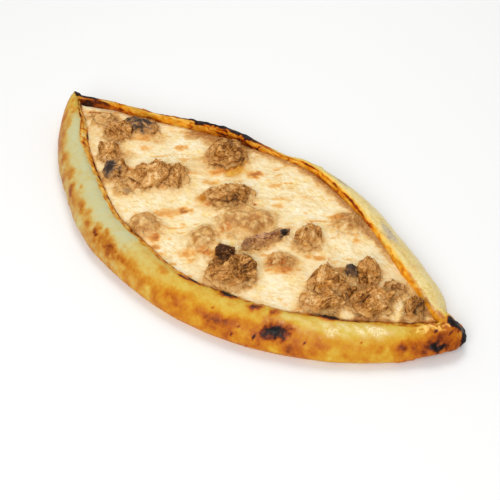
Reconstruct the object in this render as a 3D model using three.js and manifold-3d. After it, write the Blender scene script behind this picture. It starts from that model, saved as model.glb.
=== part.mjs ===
// A pide: a flat bread baked as a boat, pinched to a point at both ends, with a
// rolled rim round a bed of melted cheese and torn chunks of braised meat.
// Millimetres. +X runs from the lifted tip to the blunt nose, +Z is up, and the
// origin is the middle of the underside, on the surface that the bread lies on.
import * as THREE from 'three';
import Module from 'manifold-3d';
import { ConvexHull } from 'three/addons/math/ConvexHull.js';
import { SimplexNoise } from 'three/addons/math/SimplexNoise.js';
import { mergeVertices } from 'three/addons/utils/BufferGeometryUtils.js';

// Driving dimensions
const HALF_LENGTH = 179;   // half the bread, tip to nose
const NOSE_RADIUS = 10;    // roundness of the nose in plan
const FLOOR = 6.5;         // dough under the filling
const CHEESE_LEVEL = 14.5; // top of the cheese where it meets the rim
const CHEESE_CROWN = 1.5;  // how much higher the cheese is along the middle
const GAP = 0.4;           // air kept between touching pieces
const MEAT_SUNK = 5;       // how deep a chunk sits in the cheese

// Sampling
const STATIONS = 48;       // ribs from tip to nose
const RIM_STEPS = 10;      // points over the rim on each rib
const CHEESE_STEPS = 6;    // points from the rim to the spine on each rib
const LARGE_CHUNK = 599;   // length times breadth above which a chunk has finer faces

// Plan of the bread. Each side bulges from the line through both ends by
// bulge * (1 - |u|^p)^q, where u runs from 0 at the crest to 1 at either end.
// Swells are where the hand-rolled edge stands out from that curve, or draws
// in: the middle along X, the half width and the size.
const OUTLINE = {
  left: -HALF_LENGTH,
  right: HALF_LENGTH,
  near: {
    bulge: 100.5,
    crest: 9,
    left: [2.05, 0.79],
    right: [1.95, 0.75],
    swells: [[-110, 28, -1.6], [-60, 28, 1.4], [160, 20, -2]],
  },
  far: {
    bulge: 62.5,
    crest: 16,
    left: [1.81, 1.08],
    right: [1.95, 0.81],
    swells: [
      [-145, 26, -0.6], [-60, 26, 2.4], [-20, 26, 0.6], [15, 26, 1.7],
      [50, 26, 3.5], [85, 26, 3.5], [115, 26, -1.9],
    ],
  },
};
const HOLLOW = {
  left: -165,
  right: 159,
  near: {
    bulge: 75,
    crest: 2,
    left: [1.66, 1],
    right: [2, 1],
    swells: [[-146, 12, -10], [-62, 24, 1.7], [-18, 24, -2], [115, 24, 1.5]],
  },
  far: {
    bulge: 56,
    crest: 8,
    left: [1.43, 1],
    right: [1.3, 1],
    swells: [
      [-147, 16, 9], [-110, 26, -1.5], [-75, 26, 1.2], [-5, 26, -0.8],
      [30, 26, 1.4], [65, 26, 2.7], [100, 26, 3.3], [128, 26, -5.2],
    ],
  },
};
const PINCH = { near: 0, far: 6 }; // how far each side is pinched in behind the nose
const PINCH_AT = 163;      // middle of the pinch along X
const PINCH_HALF = 9;      // and its half width
const TIP_LINE = (OUTLINE.near.bulge - OUTLINE.far.bulge) / 2;

// Section of the rim, from the heel on the table over the ridge to the throat
// where the cheese begins: the share of the rim's width, and of its height. The
// far rim leans in, with its ridge close to the cheese. Towards both ends its
// section turns into the near one, so that the sides meet.
const RIM_SECTION = {
  near: [
    ['heel', 0.13, 0],
    ['belly', 0, 0.3],
    ['shoulder', 0.13, 0.7],
    ['crown', 0.4, 0.95],
    ['ridge', 0.68, 1],
    ['lip', 0.88, 0.88],
    ['throat', 1, 0.66],
  ],
  far: [
    ['heel', 0.1, 0],
    ['belly', 0, 0.28],
    ['shoulder', 0.12, 0.6],
    ['crown', 0.42, 0.88],
    ['ridge', 0.78, 1],
    ['lip', 0.92, 0.88],
    ['throat', 1, 0.66],
  ],
};
const FAR_SECTION_ENDS = 0.15; // share of the length over which the sections meet

// Under the nose the heel is drawn in and the belly stands higher
const NOSE_TUCK = { from: 158, to: 172, heel: 0.35, belly: 0.15 };

// Height of the ridge along each side, at the tip, in the middle and at the nose,
// and where it sags: the middle along X, the half width and the depth
const RIDGE = {
  near: { tip: 23, middle: 20, nose: 16, sags: [] },
  far: { tip: 23, middle: 21.5, nose: 16, sags: [[-60, 24, -2.2], [-15, 24, 4.1], [100, 24, 4.8]] },
};
const SIDES = { near: -1, far: 1 };

// Chunks of meat: place of the middle, length, breadth and height, and the
// direction of the length. The seed gives each one its own crags.
const CHUNKS = {
  meat_tip_pale: { x: -137, y: 18, long: 16, wide: 12, high: 9, turn: 30 },
  meat_tip_front: { x: -116, y: 12, long: 22, wide: 18, high: 13, turn: 45 },
  meat_tip_charred: { x: -111, y: 29, long: 28, wide: 18, high: 12, turn: 35 },
  meat_left_peak: { x: -106, y: -6, long: 21, wide: 15, high: 13, turn: 120 },
  meat_left_charred: { x: -90, y: -16, long: 17, wide: 16, high: 11, turn: 40 },
  meat_left_tail: { x: -71, y: -23, long: 14, wide: 12, high: 9, turn: 40 },
  meat_mound: { x: -64.5, y: -3, long: 31, wide: 25, high: 15, turn: 45 },
  meat_mound_flank: { x: -50, y: 7, long: 24, wide: 15, high: 12, turn: -50 },
  meat_far_rim: { x: -41, y: 47, long: 28, wide: 27, high: 15, turn: 20 },
  meat_middle: { x: -9, y: 16, long: 35, wide: 21, high: 11, turn: 38 },
  meat_strip: { x: 36.6, y: -0.8, long: 35, wide: 8, high: 11.5, turn: 70 },
  meat_covered_middle: { x: 15, y: 7, long: 36, wide: 27, high: 10, turn: 45 },
  meat_covered_near_rim: { x: -35, y: -39.5, long: 21, wide: 17, high: 9, turn: 15 },
  meat_dark_fold: { x: 24, y: -26, long: 14, wide: 10, high: 12, turn: 35 },
  meat_covered_small: { x: 4, y: -24, long: 22, wide: 16, high: 9, turn: 130 },
  meat_near_rim: { x: 39, y: -36, long: 32, wide: 26, high: 14, turn: 40 },
  meat_block: { x: 57.5, y: 20.5, long: 22, wide: 18, high: 14, turn: 110 },
  meat_crumb: { x: 55, y: -6, long: 17, wide: 10, high: 8, turn: 50 },
  meat_covered_far_rim: { x: 67, y: 49.5, long: 19, wide: 17, high: 9, turn: 40 },
  meat_nose_left: { x: 90, y: -2, long: 26, wide: 22, high: 12.5, turn: 110 },
  meat_nose_charred: { x: 97, y: 13, long: 13, wide: 11, high: 12, turn: 0 },
  meat_nose_back: { x: 106, y: 19.5, long: 23, wide: 16, high: 12.5, turn: 115 },
  meat_nose_front: { x: 122, y: 2, long: 27, wide: 22, high: 14, turn: 40 },
  meat_nose_near: { x: 98, y: -18, long: 27, wide: 16, high: 12, turn: 35 },
  meat_nose_link: { x: 106, y: -3, long: 17, wide: 12, high: 12, turn: 45 },
  meat_nose_crumb: { x: 125, y: 22, long: 13, wide: 11, high: 10, turn: 20 },
  meat_nose_last: { x: 143.5, y: 16, long: 17, wide: 12.5, high: 12, turn: 110 },
};

// Colours of the baked dough, the cheese and the meat
const CRUST_LOOK = { color: 0xd9b45f, roughness: 0.55, metalness: 0 };
const CHEESE_LOOK = { color: 0xf3dfae, roughness: 0.45, metalness: 0 };
const MEAT_LOOK = { color: 0xa8713a, roughness: 0.7, metalness: 0 };

const { lerp, smoothstep, degToRad } = THREE.MathUtils;

// The same stream of numbers in [0, 1) for the same seed
function stream(seed) {
  let state = seed >>> 0;
  return () => {
    state = (state + 0x6d2b79f5) >>> 0;
    let t = Math.imul(state ^ (state >>> 15), state | 1);
    t ^= t + Math.imul(t ^ (t >>> 7), t | 61);
    return ((t ^ (t >>> 14)) >>> 0) / 4294967296;
  };
}

const noiseOf = (seed) => new SimplexNoise({ random: stream(seed) });
const doughNoise = noiseOf(3);
const cheeseNoise = noiseOf(11);

// Share of the way from tip to nose, -1 to 1, of a station: close together at
// the ends, where the outline turns
const along = (station) => -Math.cos((Math.PI * station) / STATIONS);

// Point of a plan curve on one side
function edge(plan, side, s) {
  const { bulge, crest, left, right, swells } = plan[side];
  const x = lerp(plan.left, plan.right, (s + 1) / 2);
  const reach = x < crest ? crest - plan.left : plan.right - crest;
  const [p, q] = x < crest ? left : right;
  const u = Math.min(1, Math.abs(x - crest) / reach);
  let out = bulge * (1 - u ** p) ** q;
  for (const [middle, half, size] of swells) {
    out += size * Math.exp(-(((x - middle) / half) ** 2)) * (1 - s * s);
  }
  if (plan === OUTLINE) {
    out -= PINCH[side] * Math.exp(-(((x - PINCH_AT) / PINCH_HALF) ** 2));
    out = (Math.max(0, out) ** 4 + nose(x) ** 4) ** 0.25;
  }
  return new THREE.Vector2(x, TIP_LINE + SIDES[side] * out);
}

// Half breadth of the round knob at the nose, nothing away from it
function nose(x) {
  const from = x - (HALF_LENGTH - NOSE_RADIUS);
  return Math.sqrt(Math.max(0, NOSE_RADIUS ** 2 - from ** 2));
}

// The line down the middle of the hollow, where the ribs of both sides meet
const spine = (plan, s) =>
  edge(plan, 'near', s).add(edge(plan, 'far', s)).multiplyScalar(0.5);

// Height of the ridge, with the slow waver of dough rolled by hand, which dies
// away at both ends so that the sides meet
function ridgeHeight(side, s) {
  const { tip, middle, nose, sags } = RIDGE[side];
  const x = lerp(OUTLINE.left, OUTLINE.right, (s + 1) / 2);
  const waver = 0.9 * doughNoise.noise(4 * s, SIDES[side] * 5) * (1 - s * s);
  const rise = (tip - middle) * (1 - smoothstep(s, -1, -0.55));
  const fall = (nose - middle) * smoothstep(s, 0.6, 1);
  let height = middle + rise + fall + waver;
  for (const [at, half, deep] of sags) {
    height -= deep * Math.exp(-(((x - at) / half) ** 2)) * (1 - s * s);
  }
  return height;
}

function sectionPoints(section) {
  const knots = section.map(([, share, height]) => new THREE.Vector2(share, height));
  return new THREE.SplineCurve(knots).getPoints(RIM_STEPS - 1);
}

const tucked = RIM_SECTION.near.map(([name, share, height]) => [
  name,
  name === 'heel' ? share + NOSE_TUCK.heel : share,
  name === 'belly' ? height + NOSE_TUCK.belly : height,
]);
const rimSections = {
  near: sectionPoints(RIM_SECTION.near),
  far: sectionPoints(RIM_SECTION.far),
  nose: sectionPoints(tucked),
};

// The section of one side at a station
function sectionAt(side, s) {
  const own = smoothstep(1 - Math.abs(s), 0, 2 * FAR_SECTION_ENDS);
  const tuck = smoothstep(HALF_LENGTH * s, NOSE_TUCK.from, NOSE_TUCK.to);
  return rimSections.near.map((p, k) =>
    p.clone().lerp(rimSections[side][k], own).lerp(rimSections.nose[k], tuck));
}

// One side of a rib of the crust, from the table up over the ridge and down
// into the hollow. Low lumps in the skin fade out at the table and the throat.
function crustRib(side, s) {
  const outer = edge(OUTLINE, side, s);
  const inner = edge(HOLLOW, side, s);
  const height = ridgeHeight(side, s);
  const rim = sectionAt(side, s).map(({ x: share, y: up }) => {
    const at = outer.clone().lerp(inner, share);
    const lump = doughNoise.noise3d(at.x / 26, at.y / 26, up) * 0.5 * Math.sin(Math.PI * up);
    return new THREE.Vector3(at.x, at.y, Math.max(0, up * height + lump));
  });
  rim.push(new THREE.Vector3(inner.x, inner.y, FLOOR));
  return rim;
}

// A closed skin over rings that are all alike in length. The first and last
// ring are folded flat on themselves, so they need no cap.
function skin(rings) {
  const size = rings[0].length;
  const positions = rings.flat().flatMap((p) => [p.x, p.y, p.z]);
  const index = [];
  for (let i = 0; i + 1 < rings.length; i++) {
    for (let j = 0; j < size; j++) {
      const a = i * size + j;
      const b = i * size + ((j + 1) % size);
      index.push(a, a + size, b, b, a + size, b + size);
    }
  }
  const geometry = new THREE.BufferGeometry();
  geometry.setAttribute('position', new THREE.Float32BufferAttribute(positions, 3));
  geometry.setIndex(index);
  const merged = mergeVertices(geometry, 1e-3);
  merged.setIndex(withoutSlivers(merged.index.array));
  return merged;
}

// The triangles that keep three different corners
function withoutSlivers(index) {
  const kept = [];
  for (let i = 0; i < index.length; i += 3) {
    const [a, b, c] = index.slice(i, i + 3);
    if (a !== b && b !== c && c !== a) kept.push(a, b, c);
  }
  return kept;
}

// The dough boat: a flat underside, the rolled rim and the floor of the hollow
function crustGeometry() {
  const rings = [];
  for (let i = 0; i <= STATIONS; i++) {
    const s = along(i);
    const middle = spine(HOLLOW, s);
    const near = crustRib('near', s);
    const far = crustRib('far', s).reverse();
    rings.push([
      new THREE.Vector3(middle.x, middle.y, 0),
      ...near,
      new THREE.Vector3(middle.x, middle.y, FLOOR),
      ...far,
    ]);
  }
  return skin(rings);
}

// Top of the cheese, with the soft swells that melting leaves. Share is 0 at
// the rim and 1 at the spine.
function cheeseTop(x, y, share) {
  const swell = 0.8 * cheeseNoise.noise(x / 21, y / 21) + 0.4 * cheeseNoise.noise(x / 9, y / 9);
  return CHEESE_LEVEL + CHEESE_CROWN * Math.sin((Math.PI / 2) * share) + swell * Math.min(1, 0.3 + share);
}

// The bed that the cheese fills: the hollow, taken in by the gap
const BED = {
  left: HOLLOW.left + 3,
  right: HOLLOW.right - 3,
  near: { ...HOLLOW.near, bulge: HOLLOW.near.bulge - 1 },
  far: { ...HOLLOW.far, bulge: HOLLOW.far.bulge - 1 },
};

function cheeseRib(side, s) {
  const rim = edge(BED, side, s);
  const middle = spine(BED, s);
  const rib = [new THREE.Vector3(rim.x, rim.y, FLOOR + GAP)];
  for (let k = 0; k < CHEESE_STEPS; k++) {
    const share = k / CHEESE_STEPS;
    const at = rim.clone().lerp(middle, share);
    rib.push(new THREE.Vector3(at.x, at.y, cheeseTop(at.x, at.y, share)));
  }
  return rib;
}

function cheeseGeometry() {
  const rings = [];
  for (let i = 0; i <= STATIONS; i++) {
    const s = along(i);
    const middle = spine(BED, s);
    rings.push([
      new THREE.Vector3(middle.x, middle.y, FLOOR + GAP),
      ...cheeseRib('near', s),
      new THREE.Vector3(middle.x, middle.y, cheeseTop(middle.x, middle.y, 1)),
      ...cheeseRib('far', s).reverse(),
    ]);
  }
  return skin(rings);
}

// A torn chunk of meat: a flattened ball with deep crags and, finer, ridges
// that follow the fibres along its length
function chunkGeometry({ x, y, long, wide, high, turn }, seed) {
  const crags = noiseOf(seed);
  const detail = long * wide > LARGE_CHUNK ? 3 : 2;
  const ball = new THREE.IcosahedronGeometry(1, detail);
  ball.deleteAttribute('normal');
  ball.deleteAttribute('uv');
  const geometry = mergeVertices(ball, 1e-4);
  const place = geometry.attributes.position;
  const point = new THREE.Vector3();
  const yaw = new THREE.Quaternion().setFromAxisAngle(
    new THREE.Vector3(0, 0, 1),
    degToRad(turn),
  );
  const base = cheeseTop(x, y, 1) - MEAT_SUNK;
  for (let i = 0; i < place.count; i++) {
    point.fromBufferAttribute(place, i);
    const crag = crags.noise3d(1.4 * point.x, 1.4 * point.y, 1.4 * point.z);
    const fibre = crags.noise3d(1.5 * point.x, 4 * point.y, 4 * point.z + 9);
    const reach = 1 + 0.26 * crag + 0.13 * fibre;
    const up = (point.z + 1) / 2;
    point.set((point.x * reach * long) / 2, (point.y * reach * wide) / 2, 0);
    point.applyQuaternion(yaw);
    const top = 1 + (0.3 * crag + 0.12 * fibre) * up;
    place.setXYZ(i, x + point.x, y + point.y, base + up * top * high);
  }
  return geometry;
}

// manifold-3d cuts the sockets
const wasm = await Module();
wasm.setup();

function solidOf(geometry) {
  return new wasm.Manifold(
    new wasm.Mesh({
      numProp: 3,
      vertProperties: new Float32Array(geometry.attributes.position.array),
      triVerts: new Uint32Array(geometry.index.array),
    }),
  );
}

function geometryOf(solid) {
  const { vertProperties, triVerts } = solid.getMesh();
  const geometry = new THREE.BufferGeometry();
  geometry.setAttribute('position', new THREE.BufferAttribute(vertProperties, 3));
  geometry.setIndex(new THREE.BufferAttribute(triVerts, 1));
  return geometry;
}

// The socket that a chunk presses into the cheese: the chunk's own convex hull,
// larger by the gap
function socketOf(chunk) {
  const place = chunk.attributes.position;
  const points = [];
  for (let i = 0; i < place.count; i++) {
    points.push(new THREE.Vector3().fromBufferAttribute(place, i));
  }
  const box = new THREE.Box3().setFromPoints(points);
  const middle = box.getCenter(new THREE.Vector3());
  const size = box.getSize(new THREE.Vector3());
  const grow = new THREE.Vector3(
    1 + (2 * GAP) / size.x,
    1 + (2 * GAP) / size.y,
    1 + (2 * GAP) / size.z,
  );
  const hull = new ConvexHull().setFromPoints(
    points.map((p) => p.clone().sub(middle).multiply(grow).add(middle)),
  );
  const corners = [];
  for (const face of hull.faces) {
    let corner = face.edge;
    do {
      corners.push(...corner.head().point);
      corner = corner.next;
    } while (corner !== face.edge);
  }
  const geometry = new THREE.BufferGeometry();
  geometry.setAttribute('position', new THREE.Float32BufferAttribute(corners, 3));
  return mergeVertices(geometry, 1e-4);
}

function named(name, geometry, look) {
  geometry.computeVertexNormals();
  const mesh = new THREE.Mesh(geometry, new THREE.MeshStandardMaterial(look));
  mesh.name = name;
  return mesh;
}

// The largest piece of a solid, without the crumbs that a cut can leave
function largest(solid) {
  return solid.decompose().reduce((a, b) => (a.volume() > b.volume() ? a : b));
}

const pide = new THREE.Group();
pide.add(named('crust', crustGeometry(), CRUST_LOOK));

// A chunk keeps clear of those set before it, and the cheese of them all
let cheese = solidOf(cheeseGeometry());
const sockets = [];
Object.entries(CHUNKS).forEach(([name, chunk], i) => {
  let meat = solidOf(chunkGeometry(chunk, 101 + i));
  for (const socket of sockets) {
    meat = meat.subtract(socket);
  }
  const geometry = geometryOf(largest(meat));
  sockets.push(solidOf(socketOf(geometry)));
  pide.add(named(name, geometry, MEAT_LOOK));
});
for (const socket of sockets) {
  cheese = cheese.subtract(socket);
}
pide.add(named('cheese', geometryOf(largest(cheese)), CHEESE_LOOK));

export default pide;
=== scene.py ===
# %% [markdown]
# # A pide, from the oven
# A pide is a flatbread baked as a boat: a rolled rim, pinched shut at both ends,
# round a bed of melted cheese with torn chunks of braised meat. The packed
# model already holds the true sizes, so everything here is built round it, in
# metres.

# %% Load the frame
import math
from itertools import product

import bpy
import numpy as np
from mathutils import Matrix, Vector
from mathutils.bvhtree import BVHTree
from mathutils.kdtree import KDTree


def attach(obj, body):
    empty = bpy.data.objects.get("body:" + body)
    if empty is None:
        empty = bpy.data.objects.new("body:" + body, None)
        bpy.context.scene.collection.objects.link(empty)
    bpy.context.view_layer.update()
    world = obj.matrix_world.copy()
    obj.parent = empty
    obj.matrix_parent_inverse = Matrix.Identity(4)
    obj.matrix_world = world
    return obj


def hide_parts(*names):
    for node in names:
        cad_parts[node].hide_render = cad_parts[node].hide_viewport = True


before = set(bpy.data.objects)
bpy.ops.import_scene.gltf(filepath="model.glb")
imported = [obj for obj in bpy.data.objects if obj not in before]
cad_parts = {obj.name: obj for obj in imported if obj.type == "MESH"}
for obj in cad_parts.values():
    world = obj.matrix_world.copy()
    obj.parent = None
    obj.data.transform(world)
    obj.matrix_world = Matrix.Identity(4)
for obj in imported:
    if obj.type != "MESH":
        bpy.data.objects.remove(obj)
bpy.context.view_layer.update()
MM = 0.001
MEATS = sorted(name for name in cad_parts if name.startswith("meat_"))
print("nodes:", len(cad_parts), "of them meat:", len(MEATS))

# %% [markdown]
# ## Uneven as food is
# Dough, cheese and meat are never smooth, and their bumps are far too many to
# place by hand. Smooth random noise gives them: values at the corners of a
# grid, blended between. Blender's own noise module takes one point at a time;
# this version takes a whole array of points, which a dense mesh needs.
# Adding the same noise again at half the size and half the strength makes
# small bumps ride on large ones.

# %% Noise for whole arrays of points
FULL_RANGE = 1.6   # brings the blended values to about -1 to 1


def noise(points, seed):
    """Smooth noise, about -1 to 1, at points given in grid cells."""
    rng = np.random.default_rng(seed)
    shuffle = rng.permutation(256)
    slopes = rng.normal(size=(256, 3))
    slopes /= np.linalg.norm(slopes, axis=1, keepdims=True)
    cell = np.floor(points).astype(int)
    part = points - cell
    fade = part**3 * (part * (part * 6 - 15) + 10)
    total = np.zeros(len(points))
    for corner in product((0, 1), repeat=3):
        x, y, z = ((cell + corner) & 255).T
        pick = shuffle[(shuffle[(shuffle[x] + y) & 255] + z) & 255]
        weight = np.prod(np.where(corner, fade, 1 - fade), axis=1)
        total += weight * np.sum(slopes[pick] * (part - corner), axis=1)
    return FULL_RANGE * total


def layered(points, size, seed, layers=3):
    """Noise whose largest bumps are size across, with smaller ones on top."""
    flat = points.reshape(-1, 3)
    total = sum(noise(flat * 2**n / size, seed + n) / 2**n for n in range(layers))
    return total.reshape(points.shape[:-1])


print("noise at three points:", noise(np.array([[0.5, 0, 0], [1.5, 2, 0], [3.2, 1, 4]]), 1))

# %% [markdown]
# ## Borders that fade
# Nothing on bread has a hard border: a browned patch, a swell of the rim and
# the torn lip all fade into what lies beside them. Three short functions make
# such borders. They work on whole arrays, so one line shapes a whole mesh.

# %% Soft step, window and bell
def smooth(x, low, high):
    """0 below low, 1 above high, and a soft step between."""
    t = np.clip((x - low) / (high - low), 0, 1)
    return t * t * (3 - 2 * t)


def window(x, on, full, falling, off):
    """1 between full and falling, 0 outside on and off, and soft between."""
    return smooth(x, on, full) * (1 - smooth(x, falling, off))


def bell(x, middle, half):
    """1 at the middle, and fading away on both sides over the half width."""
    return np.exp(-(((x - middle) / half) ** 2))


print("a bell at 0, 1 and 2 half widths:", bell(np.arange(3), 0, 1).round(3))

# %% [markdown]
# ## From arrays to a mesh
# Every piece here is worked out as an array of points in millimetres, because
# whole-array sums are quick. One helper turns points and faces into a Blender
# object. It can also store named values on the points, such as how far the
# dough is baked there, and a material reads them back with an Attribute node.

# %% Make a piece
def make_piece(name, points, faces, values):
    """A smooth-shaded mesh that rides on the bread, from points in mm."""
    used, back = np.unique(np.concatenate([np.ravel(f) for f in faces]), return_inverse=True)
    mesh = bpy.data.meshes.new(name)
    sizes = np.concatenate([np.full(len(f), f.shape[1]) for f in faces])
    mesh.vertices.add(len(used))
    mesh.vertices.foreach_set("co", (points[used] * MM).astype(np.float32).ravel())
    mesh.loops.add(len(back))
    mesh.loops.foreach_set("vertex_index", back.astype(np.int32).ravel())
    mesh.polygons.add(len(sizes))
    starts = np.concatenate([[0], np.cumsum(sizes)[:-1]])
    mesh.polygons.foreach_set("loop_start", starts.astype(np.int32))
    mesh.update(calc_edges=True)
    mesh.validate()
    for key, value in values.items():
        layer = mesh.attributes.new(key, "FLOAT", "POINT")
        layer.data.foreach_set("value", value[used].astype(np.float32))
    mesh.shade_smooth()
    piece = bpy.data.objects.new(name, mesh)
    bpy.context.scene.collection.objects.link(piece)
    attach(piece, "root")
    print(name, "points:", len(mesh.vertices), "faces:", len(mesh.polygons))
    return piece


def ring_faces(rings, size):
    """Quads over closed rings of points. The first and last ring are folded flat
    on themselves, so the point on one side is the same as its twin's opposite."""
    index = np.arange(rings * size).reshape(rings, size)
    twin = np.minimum(np.arange(size), (-np.arange(size)) % size)
    index[0] = index[0][twin]
    index[-1] = index[-1][twin]
    a, b = index[:-1], index[1:]
    return np.stack([a, b, np.roll(b, -1, 1), np.roll(a, -1, 1)], -1).reshape(-1, 4)


# %% [markdown]
# ## The boat's plan
# Seen from above, the bread is two arcs that meet at the tip and at the nose:
# one pair for the outside and one for the hollow that holds the cheese. Each
# arc has a crest where it bulges most, and on both sides of it two powers that
# say how it falls to the end. A few swells make it as irregular as a rim rolled
# by hand. Drawn curves would do too, but numbers can be shared with the packed
# model, and these are its own.

# %% Numbers of the plan
HALF_LENGTH = 179
NOSE_RADIUS = 10
OUTLINE = {  # swells as X, half width and size
    "ends": (-HALF_LENGTH, HALF_LENGTH),
    "near": {
        "bulge": 100.5,
        "crest": 9,
        "left": (2.05, 0.79),
        "right": (1.95, 0.75),
        "swells": [(-110, 28, -1.6), (-60, 28, 1.4), (160, 20, -2)],
    },
    "far": {
        "bulge": 62.5,
        "crest": 16,
        "left": (1.81, 1.08),
        "right": (1.95, 0.81),
        "swells": [(-145, 26, -0.6), (-60, 26, 2.4), (-20, 26, 0.6), (15, 26, 1.7),
                   (50, 26, 3.5), (85, 26, 3.5), (115, 26, -1.9)],
    },
}
HOLLOW = {
    "ends": (-165, 159),
    "near": {
        "bulge": 75,
        "crest": 2,
        "left": (1.66, 1),
        "right": (2, 1),
        "swells": [(-146, 12, -10), (-62, 24, 1.7), (-18, 24, -2), (115, 24, 1.5)],
    },
    "far": {
        "bulge": 56,
        "crest": 8,
        "left": (1.43, 1),
        "right": (1.3, 1),
        "swells": [(-147, 16, 9), (-110, 26, -1.5), (-75, 26, 1.2), (-5, 26, -0.8),
                   (30, 26, 1.4), (65, 26, 2.7), (100, 26, 3.3), (128, 26, -5.2)],
    },
}
PINCH = {"near": 0, "far": 6}   # mm that each side is pinched in behind the nose
PINCH_AT = 163
PINCH_HALF = 9
print("length of the bread in mm:", 2 * HALF_LENGTH, "ends of the hollow:", HOLLOW["ends"])

# %% [markdown]
# ## Arcs from numbers
# A formula keeps the arcs smooth at any number of points. It is the formula of
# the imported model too, so the fine mesh lies exactly on the plain one. The
# stations along the bread are closer together at both ends, where the outline
# turns quickly.

# %% Plan curves
TIP_LINE = (OUTLINE["near"]["bulge"] - OUTLINE["far"]["bulge"]) / 2
SIGN = {"near": -1, "far": 1}


def edge(plan, side, s):
    """Points of one side of a plan curve, for s from -1 at the tip to 1 at the nose."""
    first, last = plan["ends"]
    arc = plan[side]
    x = first + (last - first) * (s + 1) / 2
    before = x < arc["crest"]
    u = np.abs(x - arc["crest"]) / np.where(before, arc["crest"] - first, last - arc["crest"])
    p = np.where(before, arc["left"][0], arc["right"][0])
    q = np.where(before, arc["left"][1], arc["right"][1])
    out = arc["bulge"] * np.maximum(0, 1 - np.minimum(u, 1) ** p) ** q
    for middle, half, size in arc["swells"]:
        out = out + size * bell(x, middle, half) * (1 - s * s)
    if plan is OUTLINE:
        out = out - PINCH[side] * bell(x, PINCH_AT, PINCH_HALF)
        out = np.maximum(0, out)
        knob = np.sqrt(np.maximum(0, NOSE_RADIUS**2 - (x - last + NOSE_RADIUS) ** 2))
        out = (out**4 + knob**4) ** 0.25
    return np.stack([x, TIP_LINE + SIGN[side] * out], -1)


STATIONS = 560
CROWDING = 0.6   # 0 spaces the stations evenly, 1 crowds them at both ends
turn = np.linspace(0, math.pi, STATIONS)
S = CROWDING * -np.cos(turn) + (1 - CROWDING) * (2 * turn / math.pi - 1)
OUTER = {side: edge(OUTLINE, side, S) for side in SIGN}
INNER = {side: edge(HOLLOW, side, S) for side in SIGN}
print("width of the plan in mm:", round(float(np.ptp([OUTER["near"][:, 1], OUTER["far"][:, 1]])), 1))

# %% [markdown]
# ## The rim's section
# Cut across, the rolled rim is a rounded ridge: a heel on the table, a belly,
# a crown, and a lip that drops to the cheese. Seven named points carry a
# smooth curve through them. The far rim was pressed inward, so its ridge stands
# close to the cheese. A bevelled curve could sweep a section round the boat,
# but it can't change its shape and its width on the way, and this one must.

# %% Section of the rim
RIM_SECTION = {  # heel, belly, shoulder, crown, ridge, lip, throat
    "near": [(0.13, 0), (0, 0.3), (0.13, 0.7), (0.4, 0.95), (0.68, 1), (0.88, 0.88), (1, 0.66)],
    "far": [(0.1, 0), (0, 0.28), (0.12, 0.6), (0.42, 0.88), (0.78, 1), (0.92, 0.88), (1, 0.66)],
}
RIM_POINTS = 58


def through(knots, count):
    """Count points on a smooth curve through the knots."""
    t = np.linspace(0, len(knots) - 1, count)
    i = np.minimum(t.astype(int), len(knots) - 2)
    w = (t - i)[:, None]
    before, start, end = knots[np.maximum(i - 1, 0)], knots[i], knots[i + 1]
    after = knots[np.minimum(i + 2, len(knots) - 1)]
    lead, trail = (end - before) / 2, (after - start) / 2
    return (
        (2 * start - 2 * end + lead + trail) * w**3
        + (3 * end - 3 * start - 2 * lead - trail) * w**2
        + lead * w
        + start
    )


near_section = through(np.array(RIM_SECTION["near"]), RIM_POINTS)
print("middle of the near section:", near_section[RIM_POINTS // 2].round(2))

# %% [markdown]
# ## The ridge along the boat
# The ridge is highest at the tip and lowest at the nose, and on the far side it
# sags in two places and swells in one. Towards both ends the far section turns
# into the near one, so that they meet without a step, and at the nose the heel
# is tucked in. Each station gets a section of its own for that.

# %% Height of the ridge and its sections
SECTIONS_MEET = 0.3        # distance from an end, in S, over which the sections become one
NOSE_TUCK = (0.35, 0.15)   # how far the heel is drawn in and the belly raised at the nose
TUCKED_FROM = (158, 172)   # X over which that sets in
RIDGE = {  # heights, and sags as X, half width and depth
    "near": {"tip": 23, "middle": 20, "nose": 16, "sags": []},
    "far": {"tip": 23, "middle": 21.5, "nose": 16,
            "sags": [(-60, 24, -2.2), (-15, 24, 4.1), (100, 24, 4.8)]},
}
RISES_BEFORE, FALLS_FROM = -0.55, 0.6   # S where the ridge leaves its middle height


def ridge_height(side, s):
    """Height of a side's ridge in mm, for s from -1 at the tip to 1 at the nose."""
    ridge = RIDGE[side]
    rise = (ridge["tip"] - ridge["middle"]) * (1 - smooth(s, -1, RISES_BEFORE))
    fall = (ridge["nose"] - ridge["middle"]) * smooth(s, FALLS_FROM, 1)
    sag = sum(deep * bell(HALF_LENGTH * s, x, half) for x, half, deep in ridge["sags"])
    return ridge["middle"] + rise + fall - sag * (1 - s * s)


def sections(side):
    """The section at each station, as shares of the rim's width and height."""
    tucked = np.array(RIM_SECTION["near"])
    tucked[0, 0] += NOSE_TUCK[0]
    tucked[1, 1] += NOSE_TUCK[1]
    knots = [np.array(RIM_SECTION["near"]), np.array(RIM_SECTION[side]), tucked]
    near, own, nose = (through(each, RIM_POINTS) for each in knots)
    section = near + (own - near) * smooth(1 - np.abs(S), 0, SECTIONS_MEET)[:, None, None]
    return section + (nose - section) * smooth(HALF_LENGTH * S, *TUCKED_FROM)[:, None, None]


SECTIONS = {side: sections(side) for side in SIGN}
highest = {side: int(SECTIONS[side][STATIONS // 2, :, 1].argmax()) for side in SIGN}
print("highest point of each section, of", RIM_POINTS, "points:", highest)

# %% [markdown]
# ## The rings of dough
# One ring runs round the bread at each station: from the middle of the
# underside to the near heel, over the rim, down into the hollow, across its
# floor, and back over the far rim. At both ends the two sides meet, so those
# rings fold flat, and no cap is needed.

# %% Lay out the rings
FLOOR = 6.5   # mm of dough under the filling
WALL_STEPS, FLOOR_STEPS, BASE_STEPS = 3, 2, 8


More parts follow.
